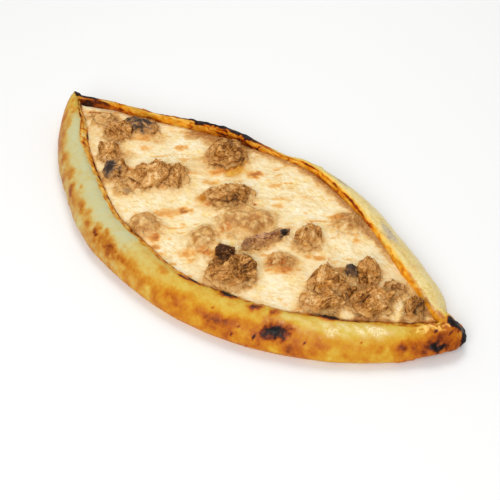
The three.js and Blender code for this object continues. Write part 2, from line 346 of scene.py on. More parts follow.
def rim_points(side):
    """The rim of one side as rings by section points by xyz, in mm."""
    share, up = SECTIONS[side][..., :1], SECTIONS[side][..., 1]
    outer, inner = OUTER[side][:, None], INNER[side][:, None]
    flat = outer + (inner - outer) * share
    height = ridge_height(side, S)[:, None] * np.maximum(up, 0)
    return np.concatenate([flat, height[..., None]], -1)


def line_between(a, b, count):
    """Points from a to b without the ends, one row for each station."""
    t = (np.arange(count) + 1)[None, :, None] / (count + 1)
    return a[:, None] + (b - a)[:, None] * t


def level(flat, z):
    """Points of a plan, all at one height."""
    return np.concatenate([flat, np.full((len(flat), 1), z)], -1)


RIM = {side: rim_points(side) for side in SIGN}
SPINE = (INNER["near"] + INNER["far"]) / 2
halves = {}
for side in SIGN:
    throat = RIM[side][:, -1]
    foot = level(INNER[side], FLOOR)
    base = line_between(level(SPINE, 0), RIM[side][:, 0], BASE_STEPS)
    wall = line_between(throat, foot, WALL_STEPS)
    floor = line_between(foot, level(SPINE, FLOOR), FLOOR_STEPS)
    halves[side] = np.concatenate([base, RIM[side], wall, foot[:, None], floor], 1)
RINGS = np.concatenate([
    level(SPINE, 0)[:, None],
    halves["near"],
    level(SPINE, FLOOR)[:, None],
    halves["far"][:, ::-1],
], 1)
RING_SIZE = RINGS.shape[1]
HALF = halves["near"].shape[1]
NEAR_RIM = slice(1 + BASE_STEPS, 1 + BASE_STEPS + RIM_POINTS)
FAR_RIM = slice(RING_SIZE - BASE_STEPS - RIM_POINTS, RING_SIZE - BASE_STEPS)
print("rings:", len(RINGS), "points in each:", RING_SIZE)

# %% [markdown]
# ## Where on the crust
# Blisters, creases and burns sit at places on the rim, so each point of the
# dough needs an address: how far across the rim it is, from the outer edge to
# the throat, how far up, and which side it is on.

# %% Addresses on the dough
ACROSS = np.ones((len(RINGS), RING_SIZE))          # 0 outer edge, 1 throat
ACROSS[:, NEAR_RIM] = SECTIONS["near"][..., 0]
ACROSS[:, FAR_RIM] = SECTIONS["far"][:, ::-1, 0]
RISE = np.zeros_like(ACROSS)                       # share of the ridge's height
RISE[:, NEAR_RIM] = SECTIONS["near"][..., 1]
RISE[:, FAR_RIM] = SECTIONS["far"][:, ::-1, 1]
ON_RIM = np.zeros_like(ACROSS, dtype=bool)
ON_RIM[:, NEAR_RIM] = True
ON_RIM[:, FAR_RIM] = True
INSIDE = np.zeros_like(ON_RIM)                     # the hollow's walls and floor
INSIDE[:, NEAR_RIM.stop:FAR_RIM.start] = True
FAR_SIDE = np.zeros_like(ON_RIM)
FAR_SIDE[:, 2 + HALF:] = True
X, Y, Z = RINGS[..., 0], RINGS[..., 1], RINGS[..., 2]
print("points on the rim:", int(ON_RIM.sum()), "in the hollow:", int(INSIDE.sum()))

# %% [markdown]
# ## Directions and distances
# A mesh made of rings has its directions ready: along the rings, round them,
# and out of the skin, which is square to both. Distances from a spot are taken
# along and across the rim, so that a burn can be long and narrow.

# %% Normals, and how far a spot reaches
FAR_OFF = 9      # the distance given to points on the other side of the bread
STEEPEST = 0.3   # the least share of a step along the rim that goes in X


def unit(v):
    """Vectors made one long."""
    return v / np.maximum(np.linalg.norm(v, axis=-1, keepdims=True), 1e-9)


def facing(points):
    """Outward normals of a net of points."""
    along = np.gradient(points, axis=0)
    around = np.roll(points, -1, 1) - np.roll(points, 1, 1)
    return unit(np.cross(along, around))


lengthways = unit(np.gradient(RINGS, axis=0) * np.array([1, 1, 0]))
SLANT = np.maximum(np.abs(lengthways[..., 0]), STEEPEST)


def reach(side, x, across, long, wide):
    """How far each point is from a spot, 1 at its edge. A spot has its X, its place
    across the rim, its half length in mm and its half width as a share of the rim."""
    away = np.hypot((X - x) / SLANT / long, (ACROSS - across) / wide)
    return np.where(ON_RIM & (FAR_SIDE == (side == "far")), away, FAR_OFF)


print("mean tilt of the outward normals:", facing(RINGS)[..., 2].mean().round(3))

# %% [markdown]
# ## Burns and blisters
# Every burn on a crust has a cause: a bubble that stood up into the heat, a
# fold, or the tip nearest the fire. So the same list drives two things, how
# brown the spot is and how much it stands out. Painting an image would lose
# that link, and its detail would blur close by.

# %% Spots on the rim
SPOTS = {  # x, across, half length, half width, browning, height
    "near": [
        (-54, 0.32, 4.8, 0.14, 0.30, 0.6), (-46, 0.40, 4, 0.10, 0.22, 0.4),
        (-42, 0.32, 13, 0.22, 0.20, 0), (-92, 0.40, 2.4, 0.07, 0.30, 0.3),
        (-103, 0.50, 3, 0.07, 0.22, 0.2), (-144, 0.26, 7, 0.16, 0.18, 0.2),
        (-150, 0.46, 6, 0.14, 0.24, 0.3), (-99, 0.16, 5, 0.12, 0.22, 0.2),
        (-79, 0.26, 6, 0.12, 0.22, 0.3), (-65, 0.18, 4, 0.10, 0.20, 0.2),
        (-35, 0.22, 6, 0.14, 0.22, 0.3), (-25, 0.22, 5, 0.12, 0.22, 0.3),
        (-14, 0.22, 7, 0.14, 0.10, 0.2), (25, 0.26, 9, 0.16, 0.16, 0.4),
        (45, 0.23, 6, 0.12, 0.14, 0.3), (56, 0.20, 8, 0.14, 0.18, 0.3), (66, 0.26, 6, 0.12, 0.16, 0.2),
        (8, 0.62, 6, 0.12, 0.20, 0.3), (34, 0.40, 7, 0.12, 0.12, 0.2),
        (20, 0.77, 6.5, 0.045, 0.60, 0.5), (29, 0.83, 6.5, 0.045, 0.62, 0.5),
        (24, 0.72, 10, 0.13, 0.16, 0.2), (51, 0.86, 5.5, 0.13, 0.75, 1.1),
        (51, 0.78, 8, 0.12, 0.24, 0), (71, 0.70, 4.4, 0.13, 0.42, 0.5), (71, 0.66, 7, 0.20, 0.20, 0),
        (83, 0.72, 5, 0.13, 0.40, 0.5), (92, 0.27, 9, 0.17, 0.26, 0.8), (91, 0.30, 5, 0.11, 0.07, 0.4),
        (92, 0.34, 12, 0.24, 0.27, 0.2), (84, 0.54, 5, 0.18, 0.20, 0.2),
        (104, 0.88, 6, 0.07, 0.60, 0.6), (110, 0.85, 7, 0.14, 0.75, 1.4),
        (118, 0.86, 12, 0.08, 0.16, 0), (142, 0.13, 8, 0.12, 0.16, 0.3),
        (154, 0.18, 7, 0.14, 0.18, 0.3), (51, 0.36, 1, 0.03, 0.45, 0.2),
        (71, 0.18, 0.7, 0.03, 0.36, 0.2), (69, 0.05, 0.8, 0.03, 0.36, 0.1),
        (82, 0.09, 0.9, 0.04, 0.40, 0.1), (109, 0.15, 0.8, 0.03, 0.45, 0.1),
        (135, 0.26, 0.9, 0.03, 0.45, 0.1), (164, 0.50, 1.6, 0.07, 0.40, 0.4),
        (171, 0.08, 3, 0.08, 0.40, 0.5), (168, 0.15, 3.4, 0.11, 0.18, 0),
        (171, 0.36, 1.2, 0.05, 0.30, 0.3), (166, 0.24, 6, 0.20, 0.12, 0),
        (-177, 0.75, 3, 0.20, 0.30, -0.8), (-158, 0.80, 2, 0.05, 0.24, 0.3),
        (-151, 0.86, 2.4, 0.07, 0.26, 0.3), (-149, 0.78, 1.6, 0.05, 0.20, 0.3),
        (-137, 0.88, 2, 0.05, 0.18, 0.3), (156, 0.90, 2, 0.05, 0.20, 0.4),
        (160, 0.62, 2, 0.05, 0.14, 0.4), (-144, 0.85, 6, 0.08, 0.20, 0.2),
        (-129, 0.82, 4, 0.08, 0.18, 0.2), (-110, 0.28, 6, 0.14, 0.20, 0.2),
        (-126, 0.20, 6, 0.12, 0.16, 0.2), (-160, 0.26, 5, 0.16, 0.24, 0.2),
        (-166, 0.60, 3, 0.10, 0.20, 0), (-156, 0.62, 2.4, 0.16, 0.20, -0.3),
        (-70, 0.36, 4, 0.10, 0.18, 0.2), (-55, 0.12, 5, 0.12, 0.20, 0.2),
        (0, 0.18, 7, 0.12, 0.14, 0.2),
    ],
    "far": [
        (165.5, 0.56, 3.4, 0.10, 0.85, 0.3), (169, 0.42, 3.4, 0.11, 0.75, 0.3),
        (158, 0.70, 6, 0.06, 0.30, 0.2), (173, 0.24, 3, 0.14, 0.40, 0.3),
        (167.5, 0.49, 4, 0.12, 0.80, 0.3), (167, 0.22, 4, 0.14, 0.55, 0.2),
        (171, 0.22, 4, 0.16, 0.60, 0.2), (-170, 0.52, 3.6, 0.26, 0.60, 1.8),
        (-60, 0.90, 7, 0.08, 0.05, 0.4), (-46, 0.92, 9, 0.09, 0.05, 0.4),
        (-158, 0.92, 9, 0.10, 0.02, 0.2),
    ],
}
print("spots:", {side: len(spots) for side, spots in SPOTS.items()})

# %% [markdown]
# ## Creases, and distances from the spots
# Where the dough was folded over, a narrow groove runs across the rim. It is
# worked out like a spot that is under a millimetre long. Noise is added to the
# distances from all other spots, so that no burn ends in a clean oval.

# %% Creases and distances
CREASES = {  # x, across, half length, half width, depth
    "near": [
        (-122, 0.55, 0.8, 0.42, 0.55), (-24, 0.5, 0.8, 0.45, 0.6), (84, 0.5, 0.9, 0.3, 0.5),
        (38, 0.4, 0.8, 0.3, 0.3), (128, 0.4, 0.8, 0.3, 0.3), (-80, 0.4, 0.7, 0.25, 0.25),
    ],
    "far": [(30, 0.3, 1, 0.3, 0.5), (84, 0.3, 1, 0.3, 0.5), (-20, 0.3, 1, 0.3, 0.5)],
}
wobble = 0.32 * layered(RINGS, 3.2, 25, 3)
MARKS = [  # for each spot: how far off every point is, 1 at its edge, its browning and its height
    (reach(side, *place) + wobble, browning, high)
    for side, spots in SPOTS.items()
    for *place, browning, high in spots
]
print("marks:", len(MARKS), "creases:", sum(len(creases) for creases in CREASES.values()))

# %% [markdown]
# ## The skin of the dough
# The rim carries slow lumps from rolling, creases where it was folded over, a
# torn lip at the cheese, and flakes at the nose. They are real relief here and
# not only a bump in the material, so that the outline and the highlights break
# up too. Each is a distance in mm along the surface's own direction.

# %% Relief of the crust
def crust_relief():
    """How far each point of the dough moves out, in mm."""
    lumps = 0.55 * layered(RINGS, 30, 5, 3) + 0.2 * layered(RINGS, 5, 6, 2)
    torn = 0.7 * layered(RINGS, 5, 7, 3) * window(ACROSS, 0.76, 0.88, 0.97, 1)
    flaky = 0.9 * np.abs(layered(RINGS, 7, 10, 3)) * smooth(X, 140, 160)
    craggy_ridge = 0.9 * layered(RINGS, 8, 8, 2) * bell(ACROSS, 0.64, 0.16) * FAR_SIDE
    relief = lumps + torn + flaky + craggy_ridge
    for away, _, high in MARKS:
        relief = relief + high * (1 - smooth(away, 0.2, 1.3))
    for side, creases in CREASES.items():
        for *place, deep in creases:
            relief = relief - deep * bell(reach(side, *place), 0, 1)
    return relief * smooth(RISE, 0.02, 0.3) * ON_RIM


relief = crust_relief()
relief[[0, -1]] = 0
CRUST = RINGS + facing(RINGS) * relief[..., None]
CRUST[..., 2] = np.maximum(CRUST[..., 2], 0)
print("relief from", relief.min().round(2), "to", relief.max().round(2), "mm")

# %% [markdown]
# ## How far it is baked
# One number says it all: 0 is pale, raw-looking dough, 0.5 is gold, 0.75 brown
# and 1 burnt black. The oven browned the bread unevenly from end to end, so
# short tables say how it changes along X, and numbers between are blended.

# %% Browning along the rim
FLANK = np.array([     # the near rim's lower flank: X, browning
    (-179, 0.42), (-24, 0.40), (20, 0.44), (45, 0.47), (58, 0.48), (72, 0.57), (95, 0.58),
    (112, 0.58), (128, 0.40), (148, 0.36), (160, 0.60), (179, 0.70),
])
CROWN = np.array([     # the near rim's crown: X, browning
    (-179, 0.26), (-160, 0.26), (-142, 0.05), (-30, 0.05), (-22, 0.22), (80, 0.26), (98, 0.22),
    (130, 0.20), (150, 0.26), (160, 0.52), (170, 0.66), (179, 0.66),
])
LIP = np.array([       # the near rim's lip: X, share across where it begins
    (-179, 0.92), (-158, 0.87), (-146, 0.82), (-138, 0.77), (-126, 0.74), (-114, 0.80),
    (-103, 0.83), (-90, 0.82), (128, 0.82), (150, 0.68), (179, 0.68),
])
SCORCH = np.array([    # the far ridge: X, share across, half width, browning
    (-179, 0.50, 0.40, 0.9), (-168, 0.56, 0.20, 0.9), (-162, 0.66, 0.12, 0.8),
    (-156, 0.68, 0.10, 0.7), (-150, 0.72, 0.08, 0.6), (-143, 0.76, 0.06, 0.5),
    (-135, 0.81, 0.05, 0.45), (-128, 0.80, 0.03, 0.15), (-120, 0.74, 0.09, 0.45),
    (-107, 0.69, 0.14, 0.80), (-98, 0.72, 0.10, 0.50), (-87, 0.71, 0.14, 0.90),
    (-76, 0.71, 0.16, 1.0), (-38, 0.71, 0.16, 1.0), (-28, 0.72, 0.13, 0.65),
    (-16, 0.82, 0.05, 0.40), (-8, 0.88, 0.03, 0.36), (45, 0.905, 0.025, 0.36),
    (78, 0.94, 0.03, 0.26), (97, 0.72, 0.08, 0.16), (120, 0.60, 0.10, 0.10), (179, 0.40, 0.10, 0.10),
])
SEAR = np.array([      # the far lip: X, share across where it begins, browning
    (-179, 0.60, 0.34), (-158, 0.70, 0.38), (-150, 0.82, 0.34), (-144, 0.93, 0.24),
    (-138, 0.92, 0.28), (-131, 0.95, 0.22), (-108, 0.955, 0.24), (-92, 0.985, 0.1),
    (-72, 0.985, 0.1), (-60, 0.955, 0.24), (-46, 0.935, 0.28), (-30, 0.94, 0.24),
    (-8, 0.985, 0.1), (14, 0.98, 0.18), (24, 0.96, 0.24), (46, 0.975, 0.2),
    (70, 0.99, 0.1), (179, 0.99, 0.1),
])


def along_rim(table, column):
    """A column of a table whose first one is X, at each point of the dough."""
    return np.interp(X, table[:, 0], table[:, column])


BROAD = layered(RINGS, 24, 21, 2)
PATCH = layered(RINGS, 10, 22, 4)
NEAR_LIP = along_rim(LIP, 1)
print("the near lip takes up", round(float(1 - NEAR_LIP.mean()), 2), "of the rim's width")

# %% [markdown]
# ## Dough on the oven floor
# The near rim's flank lay on the hot floor and browned most, while its crown
# stays pale at the tip and turns gold towards the nose. The far rim's outer
# wall browned a little too. Dough that stands in fat fries instead: it browns
# in small, sharp patches.

# %% Browning of the plain dough
def near_dough():
    """The near rim: a pale or golden crown, a browner flank, and patches on both."""
    low = 1 - smooth(ACROSS + 0.16 * PATCH + 0.06 * BROAD, 0.18, 0.50)
    crown, flank = along_rim(CROWN, 1), along_rim(FLANK, 1)
    return crown + (flank - crown) * low + (0.11 + 0.09 * low) * PATCH + 0.08 * BROAD * low


def far_dough():
    """The far rim: pale, with a browned outer wall and a darker nose."""
    outer_wall = (1 - smooth(RISE + 0.2 * PATCH, 0.28, 0.62)) * (ACROSS < 0.4)
    on_wall = (0.28 + 0.2 * PATCH + 0.12 * BROAD) * outer_wall
    return 0.12 + 0.10 * PATCH + 0.42 * smooth(X + 14 * ACROSS, 168, 176) + on_wall


def fried_dough():
    """Dough that stands in fat. Its patches are half as strong on the far side."""
    fried = 0.47 + 0.34 * layered(RINGS * np.array([1, 1, 2]), 5, 23, 3) + 0.08 * BROAD
    return fried - FAR_SIDE * 0.5 * (fried - 0.42)


def lips():
    """1 where the dough stands in the fat, on both sides."""
    far_lip = 0.86 + 0.05 * smooth(X, -30, -10) - 0.17 * smooth(X, 100, 150)
    begins = np.where(FAR_SIDE, far_lip, NEAR_LIP)
    return smooth(ACROSS + 0.04 * PATCH, begins - 0.03, begins + 0.02)


FRIED = fried_dough()
print("browning of the fried dough:", FRIED.mean().round(2))

# %% [markdown]
# ## Lines, scorches and flakes
# Some marks follow the shape of the rim instead of sitting in spots: a painted
# shadow line in the gap where lip and cheese meet, a black scorch along the far
# ridge where it stood highest in the oven, red-brown cracks under it, and a
# burnt knob at the nose. Each is a function of its own, so that one can be
# changed by itself.

# %% Browning that follows the rim
def scorch():
    """The black that runs along the far ridge, where it stood highest in the oven."""
    beads = 0.35 * layered(RINGS, 5, 27, 3)
    away = np.abs(ACROSS - along_rim(SCORCH, 1)) / along_rim(SCORCH, 2) + beads
    return FAR_SIDE * along_rim(SCORCH, 3) * (1 - smooth(away, 0.7, 1.2))


def sear():
    """The red-brown edge where the far lip stands in the fat."""
    begins = along_rim(SEAR, 1) + 0.015 * layered(RINGS, 6, 29, 3)
    return FAR_SIDE * along_rim(SEAR, 2) * smooth(ACROSS, begins - 0.01, begins + 0.02)


def cracks():
    """Red-brown cracks in the far lip, long along the rim."""
    lines = 1 - smooth(np.abs(layered(RINGS * (0.3, 1, 1), 6, 53, 2)), 0.03, 0.14)
    return 0.30 * lines * window(X, -90, -75, -10, 30) * smooth(ACROSS, 0.84, 0.90) * FAR_SIDE


def painted_gap_shadow():
    """Painted shadow: the dark line in the gap between the near lip and the cheese."""
    line = 0.24 * (1 + layered(RINGS, 9, 24, 2)) * np.where(FAR_SIDE, 0, 1 - 0.6 * smooth(X, 30, 60))
    return line * (1 + 0.8 * window(X, -128, -112, -66, -50)) * smooth(ACROSS, 0.91, 0.97)


def tip_lip():
    """The near lip at the tip: paler than elsewhere, with a brown line along its edge."""
    here = ~FAR_SIDE * (1 - smooth(X, -136, -124))
    paler = (0.24 + 0.5 * layered(RINGS, 7, 30, 3)) * smooth(ACROSS, NEAR_LIP, NEAR_LIP + 0.05)
    edge_line = 1 - smooth(np.abs(ACROSS - NEAR_LIP + 0.01 * PATCH), 0.01, 0.035)
    return here * (0.24 * edge_line - paler)


def flakes():
    """The thin yellow flakes in which the dough tore at the nose."""
    scales = smooth(layered(RINGS, 3.5, 51, 3), -0.05, 0.25) * smooth(ACROSS, 0.42, 0.55)
    return scales * window(X, 152, 158, 168, 173) * ~FAR_SIDE


def burnt_knob():
    """The black knob in which the nose ends."""
    slanting = X + 0.6 * (Y - 22) - 0.3 * (Z - 8) + 1.5 * PATCH
    return 0.7 * smooth(slanting, 173.5, 176.5) * smooth(Y, 13, 17)


print("share of the far rim that is scorched:", (scorch()[:, FAR_RIM] > 0.5).mean().round(3))

# %% [markdown]
# ## All of the baking
# Now the parts are laid over one another: plain dough, the fried lips, the
# lines, and the spots from the list. The underside has a tone of its own, and
# the dough in the hollow is as dark as the lip, because fat reaches it.

# %% Baking of the crust
def baking():
    """How far each point of the dough is baked, from 0 to 1."""
    rim = np.where(FAR_SIDE, far_dough(), near_dough())
    rim = rim + (FRIED - rim) * lips()
    # the parts include the painted shadow line in the gap between the near lip and the cheese
    for part in (tip_lip(), painted_gap_shadow(), scorch(), sear(), cracks(), burnt_knob(), -0.24 * flakes()):
        rim = rim + part
    for away, browning, _ in MARKS:
        rim = rim + browning * (1 - smooth(away, 0.25, 1.35))
    under = 0.40 + 0.14 * BROAD + 0.08 * PATCH
    rim = under + (rim - under) * smooth(RISE, 0.0, 0.16)
    return np.clip(np.where(ON_RIM, rim, np.where(INSIDE, FRIED + 0.2, under)), 0, 1)


BAKED = baking()
print("mean baking of the rim:", BAKED[ON_RIM].mean().round(2))

# %% [markdown]
# ## Pale, glossy, amber and bruised
# Baking alone can't give every colour of a crust. At the tip the dough only
# dried, and is cream where it would be yellow. Along the crown near the nose the
# dough is glossier, with pale glints of highlight painted into its colour, and
# the outside of the far rim is lighter and glossier. Thin dough that fried is a
# clear orange, and a bubble that burst left a grey bruise. Each is a mask.

# %% Masks on the crust
PALE_ZONE_ENDS = -25   # X where the near rim turns from pale cream to yellow


def pallor():
    """Where lightly baked dough shows as greenish cream and not as yellow."""
    patch = layered(RINGS, 8, 22, 3)
    near = 1 - 0.4 * smooth(X + 3 * patch, PALE_ZONE_ENDS - 4, PALE_ZONE_ENDS + 3)
    near = near - 0.5 * smooth(X + 10 * patch, PALE_ZONE_ENDS, PALE_ZONE_ENDS + 60)
    near = near - 0.7 * (1 - smooth(X + 6 * patch, -160, -148)) * (1 - smooth(ACROSS, 0.9, 0.95))
    return np.where(FAR_SIDE, 0.35 - 0.25 * smooth(X, 20, 80), near)


def gloss_and_glint_places():
    """Where the dough is glossier: painted glints of highlight on the crown, a lighter outer wall on the
    far rim, and lighter flakes at the nose.
    """
    along = 0.4 * smooth(X, 76, 96) + 0.9 * smooth(X, 108, 122) - 1.3 * smooth(X, 134, 150)
    crown = bell(ACROSS, 0.52, 0.16) * along * ~FAR_SIDE
    crown = crown * (0.6 + 1.4 * layered(RINGS * (0.5, 1, 1), 5, 28, 3))
    outside = FAR_SIDE * window(X, 20, 60, 152, 164) * (1 - smooth(ACROSS, 0.78, 0.88))
    clean = 1 - smooth(BAKED, 0.55, 0.75)
    return np.clip(crown + 0.6 * outside + 0.25 * flakes(), 0, 1) * clean


def amber():
    """Where thin dough, as in the far lip, fried to a clear orange."""
    glow = 0.8 + 0.8 * layered(RINGS * (0.5, 1, 1), 6, 52, 3)
    far_lip = window(ACROSS, 0.80, 0.88, 0.955, 0.985) * smooth(X, -152, -140)
    near_lip = smooth(ACROSS, NEAR_LIP, NEAR_LIP + 0.04) * (1 - smooth(X, 30, 60))
    return np.clip(glow * np.where(FAR_SIDE, far_lip, 0.7 * near_lip) + 0.9 * flakes(), 0, 1)


def bruise():
    """Where burst bubbles left the far rim grey, two of them plainly and one faintly."""
    away = np.minimum(reach("far", 95, 0.52, 12, 0.2), reach("far", 42, 0.56, 8, 0.12))
    away = np.minimum(away, 0.6 + reach("far", 72, 0.46, 9, 0.08))
    return 1 - smooth(away + 0.3 * layered(RINGS, 4, 26, 2), 0.4, 1.2)


crust_values = {
    "baked": BAKED, "pallor": pallor(), "bruise": bruise(), "gloss_and_painted_glints": gloss_and_glint_places(), "amber": amber(),
}
print("mean of each mask:", {key: round(float(value.mean()), 3) for key, value in crust_values.items()})

# %% [markdown]
# ## The crust as one piece
# The points, the faces between the rings and the five values now become one
# object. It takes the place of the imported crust, which is then hidden.

# %% Crust piece
crust = make_piece(
    "crust_baked",
    CRUST.reshape(-1, 3),
    [ring_faces(STATIONS, RING_SIZE)],
    {key: value.ravel() for key, value in crust_values.items()},
)
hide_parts("crust")

# %% [markdown]
# ## Torn meat
# Braised meat is torn, not cut, so a chunk is a bundle of fibres with crags, pits
# and a ragged top. The imported chunks have the right size and place but few faces.
# Each gets a look of its own in a table, because no two were torn alike, and a
# table is easier to change than twenty-seven meshes sculpted by hand.

# %% Looks of the chunks
# tone: how dark it is; mauve: how dusky inside; spikes: how ragged its top
# veil: how far cheese covers it; bare: 1 keeps it clean; flat: mm above which it is pressed down
# peaks and char: places, as x, y, radius, and then height or strength; the list of painted shading gives
# places, as x, y, radius and change of tone, where light or shade is painted onto the chunk
LOOKS = {
    "meat_tip_pale": {"tone": 0.36, "veil": 0.25},
    "meat_tip_front": {"tone": 0.46, "painted_shading": [(-108, 11, 5, -0.1)]},
    "meat_tip_charred": {"tone": 0.48, "char": [(-120, 26, 8, 0.8), (-109, 30, 9, 0.9)]},
    "meat_left_peak": {"tone": 0.36, "spikes": 0.7, "peaks": [(-111, -3, 3, 2.5), (-112, -12, 3, 1.5)],
                       "painted_shading": [(-110, -12, 5, 0.1)]},
    "meat_left_charred": {"tone": 0.42, "char": [(-93, -19, 8, 0.9), (-89, -27, 6, 0.5)]},
    "meat_left_tail": {"tone": 0.48, "veil": 0.2, "char": [(-66, -27, 4, 0.4)]},
    "meat_mound": {"tone": 0.38, "spikes": 0.7, "peaks": [(-61, 12, 3.5, 4.5), (-78, -2, 9, -4)],
                   "painted_shading": [(-60, 8, 6, 0.05)]},
    "meat_mound_flank": {"tone": 0.40, "spikes": 0.6, "painted_shading": [(-40, -3, 5, 0.08)]},
    "meat_far_rim": {"tone": 0.48, "peaks": [(-51, 36, 7, -8)],
                     "painted_shading": [(-31, 49, 7, 0.14), (-44, 39, 6, -0.06), (-28, 38, 6, -0.08)]},
    "meat_middle": {"tone": 0.50, "painted_shading": [(0, 11, 6, 0.26), (-5, 6, 5, 0.26), (-15, 14, 6, -0.08),
                                             (4, 24, 4, -0.14), (-20, 2, 5, -0.14)]},
    "meat_covered_middle": {"tone": 0.26, "veil": 0.6, "painted_shading": [(12, -10, 3, 0.3)]},
    "meat_covered_near_rim": {"tone": 0.22, "veil": 0.5},
    "meat_covered_small": {"tone": 0.28, "veil": 0.6},
    "meat_dark_fold": {"tone": 0.80, "mauve": 0.3, "bare": 1, "flat": 20.0, "spikes": 0.2},
    "meat_near_rim": {"tone": 0.53, "spikes": 0.8, "painted_shading": [(32, -33, 6, 0.25), (33, -48, 6, -0.14),
                                                              (53, -37, 5, 0.16)]},
    "meat_strip": {"tone": 0.44, "mauve": 0.65, "char": [(44, 11, 4, 1.0), (32, -13, 3.5, 0.3)]},
    "meat_block": {"tone": 0.33, "painted_shading": [(52, 10, 6, 0.24), (60, 28, 4, 0.1)],
                       "char": [(50, 9, 4, 0.4)]},
    "meat_crumb": {"tone": 0.36, "veil": 0.3},
    "meat_covered_far_rim": {"tone": 0.28, "veil": 0.6},
    "meat_nose_left": {"tone": 0.38, "spikes": 0.9, "peaks": [(92, 10, 5, -4)],
                       "painted_shading": [(98, -8, 6, 0.12)]},
    "meat_nose_charred": {"tone": 0.56, "mauve": 0.3, "char": [(96, 14, 7, 0.75)]},
    "meat_nose_back": {"tone": 0.42, "spikes": 0.7, "painted_shading": [(107, 9, 5, 0.2)],
                       "char": [(103, 29, 3, 0.7)]},
    "meat_nose_front": {"tone": 0.46, "painted_shading": [(125, 1, 6, -0.16), (118, -5, 5, 0.16),
                                                  (128, -6, 5, 0.1)]},
    "meat_nose_near": {"tone": 0.36, "painted_shading": [(106, -20, 6, 0.14), (95, -25, 6, -0.08)]},
    "meat_nose_link": {"tone": 0.58},
    "meat_nose_crumb": {"tone": 0.46, "mauve": 0.3},
    "meat_nose_last": {"tone": 0.44, "painted_shading": [(148, 18, 7, 0.26), (140, 12, 5, -0.14)]},
}
print("chunks with a burnt place:", sum("char" in look for look in LOOKS.values()))

# %% [markdown]
# ## Small, even faces
# Relief needs many small faces of one size. A voxel remesh lays them over any
# closed shape, and a light smoothing takes its steps off. Subdividing would
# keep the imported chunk's long thin triangles, so it isn't used here.

# %% A fine mesh of a chunk
VOXEL = 0.48  # mm
SOFTENING = 12


def fine_chunk(node):
    """Points and outward normals in mm, and quads, of a chunk remeshed evenly."""
    copy = bpy.data.objects.new("chunk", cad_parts[node].data.copy())
    bpy.context.scene.collection.objects.link(copy)
    remesh = copy.modifiers.new("even", "REMESH")
    remesh.mode = "VOXEL"
    remesh.voxel_size = VOXEL * MM
    soften = copy.modifiers.new("soften", "SMOOTH")
    soften.iterations = SOFTENING
    dense = copy.evaluated_get(bpy.context.evaluated_depsgraph_get()).to_mesh()
    points = np.empty(3 * len(dense.vertices), np.float32)
    dense.vertices.foreach_get("co", points)
    normals = np.empty_like(points)
    dense.vertices.foreach_get("normal", normals)
    quads = np.empty(len(dense.loops), np.int32)
    dense.loops.foreach_get("vertex_index", quads)
    bpy.data.objects.remove(copy)
    return points.reshape(-1, 3) / MM, normals.reshape(-1, 3), quads.reshape(-1, 4)


FINE = {node: fine_chunk(node) for node in MEATS}
print("remeshed chunks:", len(FINE), "faces:", sum(len(quads) for _, _, quads in FINE.values()))

# %% [markdown]
# ## Which way the fibres run
# Fibres run along the length of a chunk, but climb through it at a slant and
# bend, or they would look like yarn wound round a ball. So each chunk gets
# coordinates of its own: turned to its length, tilted, and warped by noise.
# Anything that is drawn out along the first of them follows the fibres.

# %% Coordinates along the fibres
TILT = math.radians(38)   # how steeply the fibres climb through a chunk
BEND = 5                  # mm by which noise warps them


def fibre_axes(points):
    """The chunk's own axes as rows: along its fibres, across them, and up."""
    flat = points[:, :2] - points[:, :2].mean(0)
    axes = np.eye(3)
    axes[:2, :2] = np.linalg.svd(flat, full_matrices=False)[2]
    return axes


def fibre_places(points, seed):
    """Each point in its chunk's coordinates, straight ones and bent ones."""
    local = (points - points.mean(0)) @ fibre_axes(points).T
    tilt = TILT * (-1) ** (seed // 10)
    c, s = math.cos(tilt), math.sin(tilt)
    local = local @ np.array([[c, 0, -s], [0, 1, 0], [s, 0, c]])
    return local, local + BEND * np.stack([layered(local, 14, seed + n, 2) for n in (7, 8, 9)], -1)


print("main direction of the strip:", fibre_axes(FINE["meat_strip"][0])[0].round(2))

# %% [markdown]
# ## Relief of torn meat
# Each point moves in or out by a sum of reliefs: crags, fibres, pits and grain.
# The foot spreads to where the melt ran, small spikes stand on top, and named
# places are raised or lowered. Sculpting would do it too, but twenty-seven
# chunks share these few lines.

# %% Relief of the meat
CHEESE_LEVEL = 14.5                # mm at which the sheet of cheese meets the rim
RUN = np.array([0.66, -0.75, 0])   # the way the melt ran, down to the near rim


def meat_relief(local, bent, seed):
    """How far each point moves out in mm, and the part of that which fibres and pits make."""
    crags = 0.8 * layered(local, 9, seed, 2)
    fibres = 0.15 * (1 - 3 * np.abs(layered(bent * (0.12, 1, 1), 1.5, seed + 1, 2)))
    pits = -0.3 * smooth(layered(bent * (0.3, 1, 1), 2.6, seed + 2, 2), 0.35, 0.8)
    grain = 0.1 * layered(local, 1.2, seed + 3, 2)
    return crags + fibres + pits + grain, fibres + pits


def spots_on(points, spots, ragged=0):
    """For each spot in turn, how far the points are from it, 1 at its radius, and its strength."""
    for x, y, radius, strength in spots:
        yield np.hypot(points[:, 0] - x, points[:, 1] - y) / radius + ragged, strength


def torn_points(points, normals, local, out, lee, look, seed):
    """The points of a chunk, moved out by its relief, spread at its foot and raised on top."""
    sideways = unit(normals * (1, 1, 0))
    above = points[:, 2] - CHEESE_LEVEL
    foot = 1 - smooth(above, -1, 4)
    spread = foot * (0.3 + 1.6 * lee) * (1.2 + layered(local, 6, seed + 10, 2))
    moved = points + normals * out[:, None] + sideways * spread[:, None]
    top = smooth(points[:, 2], *np.percentile(points[:, 2], (60, 92)))
    teeth = np.maximum(0, layered(local * (1, 1, 0), 2.8, seed + 4, 2) + 0.1)
    moved[:, 2] += 2.4 * look.get("spikes", 0.5) * top * teeth
    for away, high in spots_on(points, look.get("peaks", [])):
        moved[:, 2] += high * bell(away, 0, 1) * smooth(above, 1, 7)
    if "flat" in look:
        moved[:, 2] -= 0.8 * np.maximum(0, moved[:, 2] - look["flat"])
    return moved


print("length of the melt's direction:", np.linalg.norm(RUN).round(3))
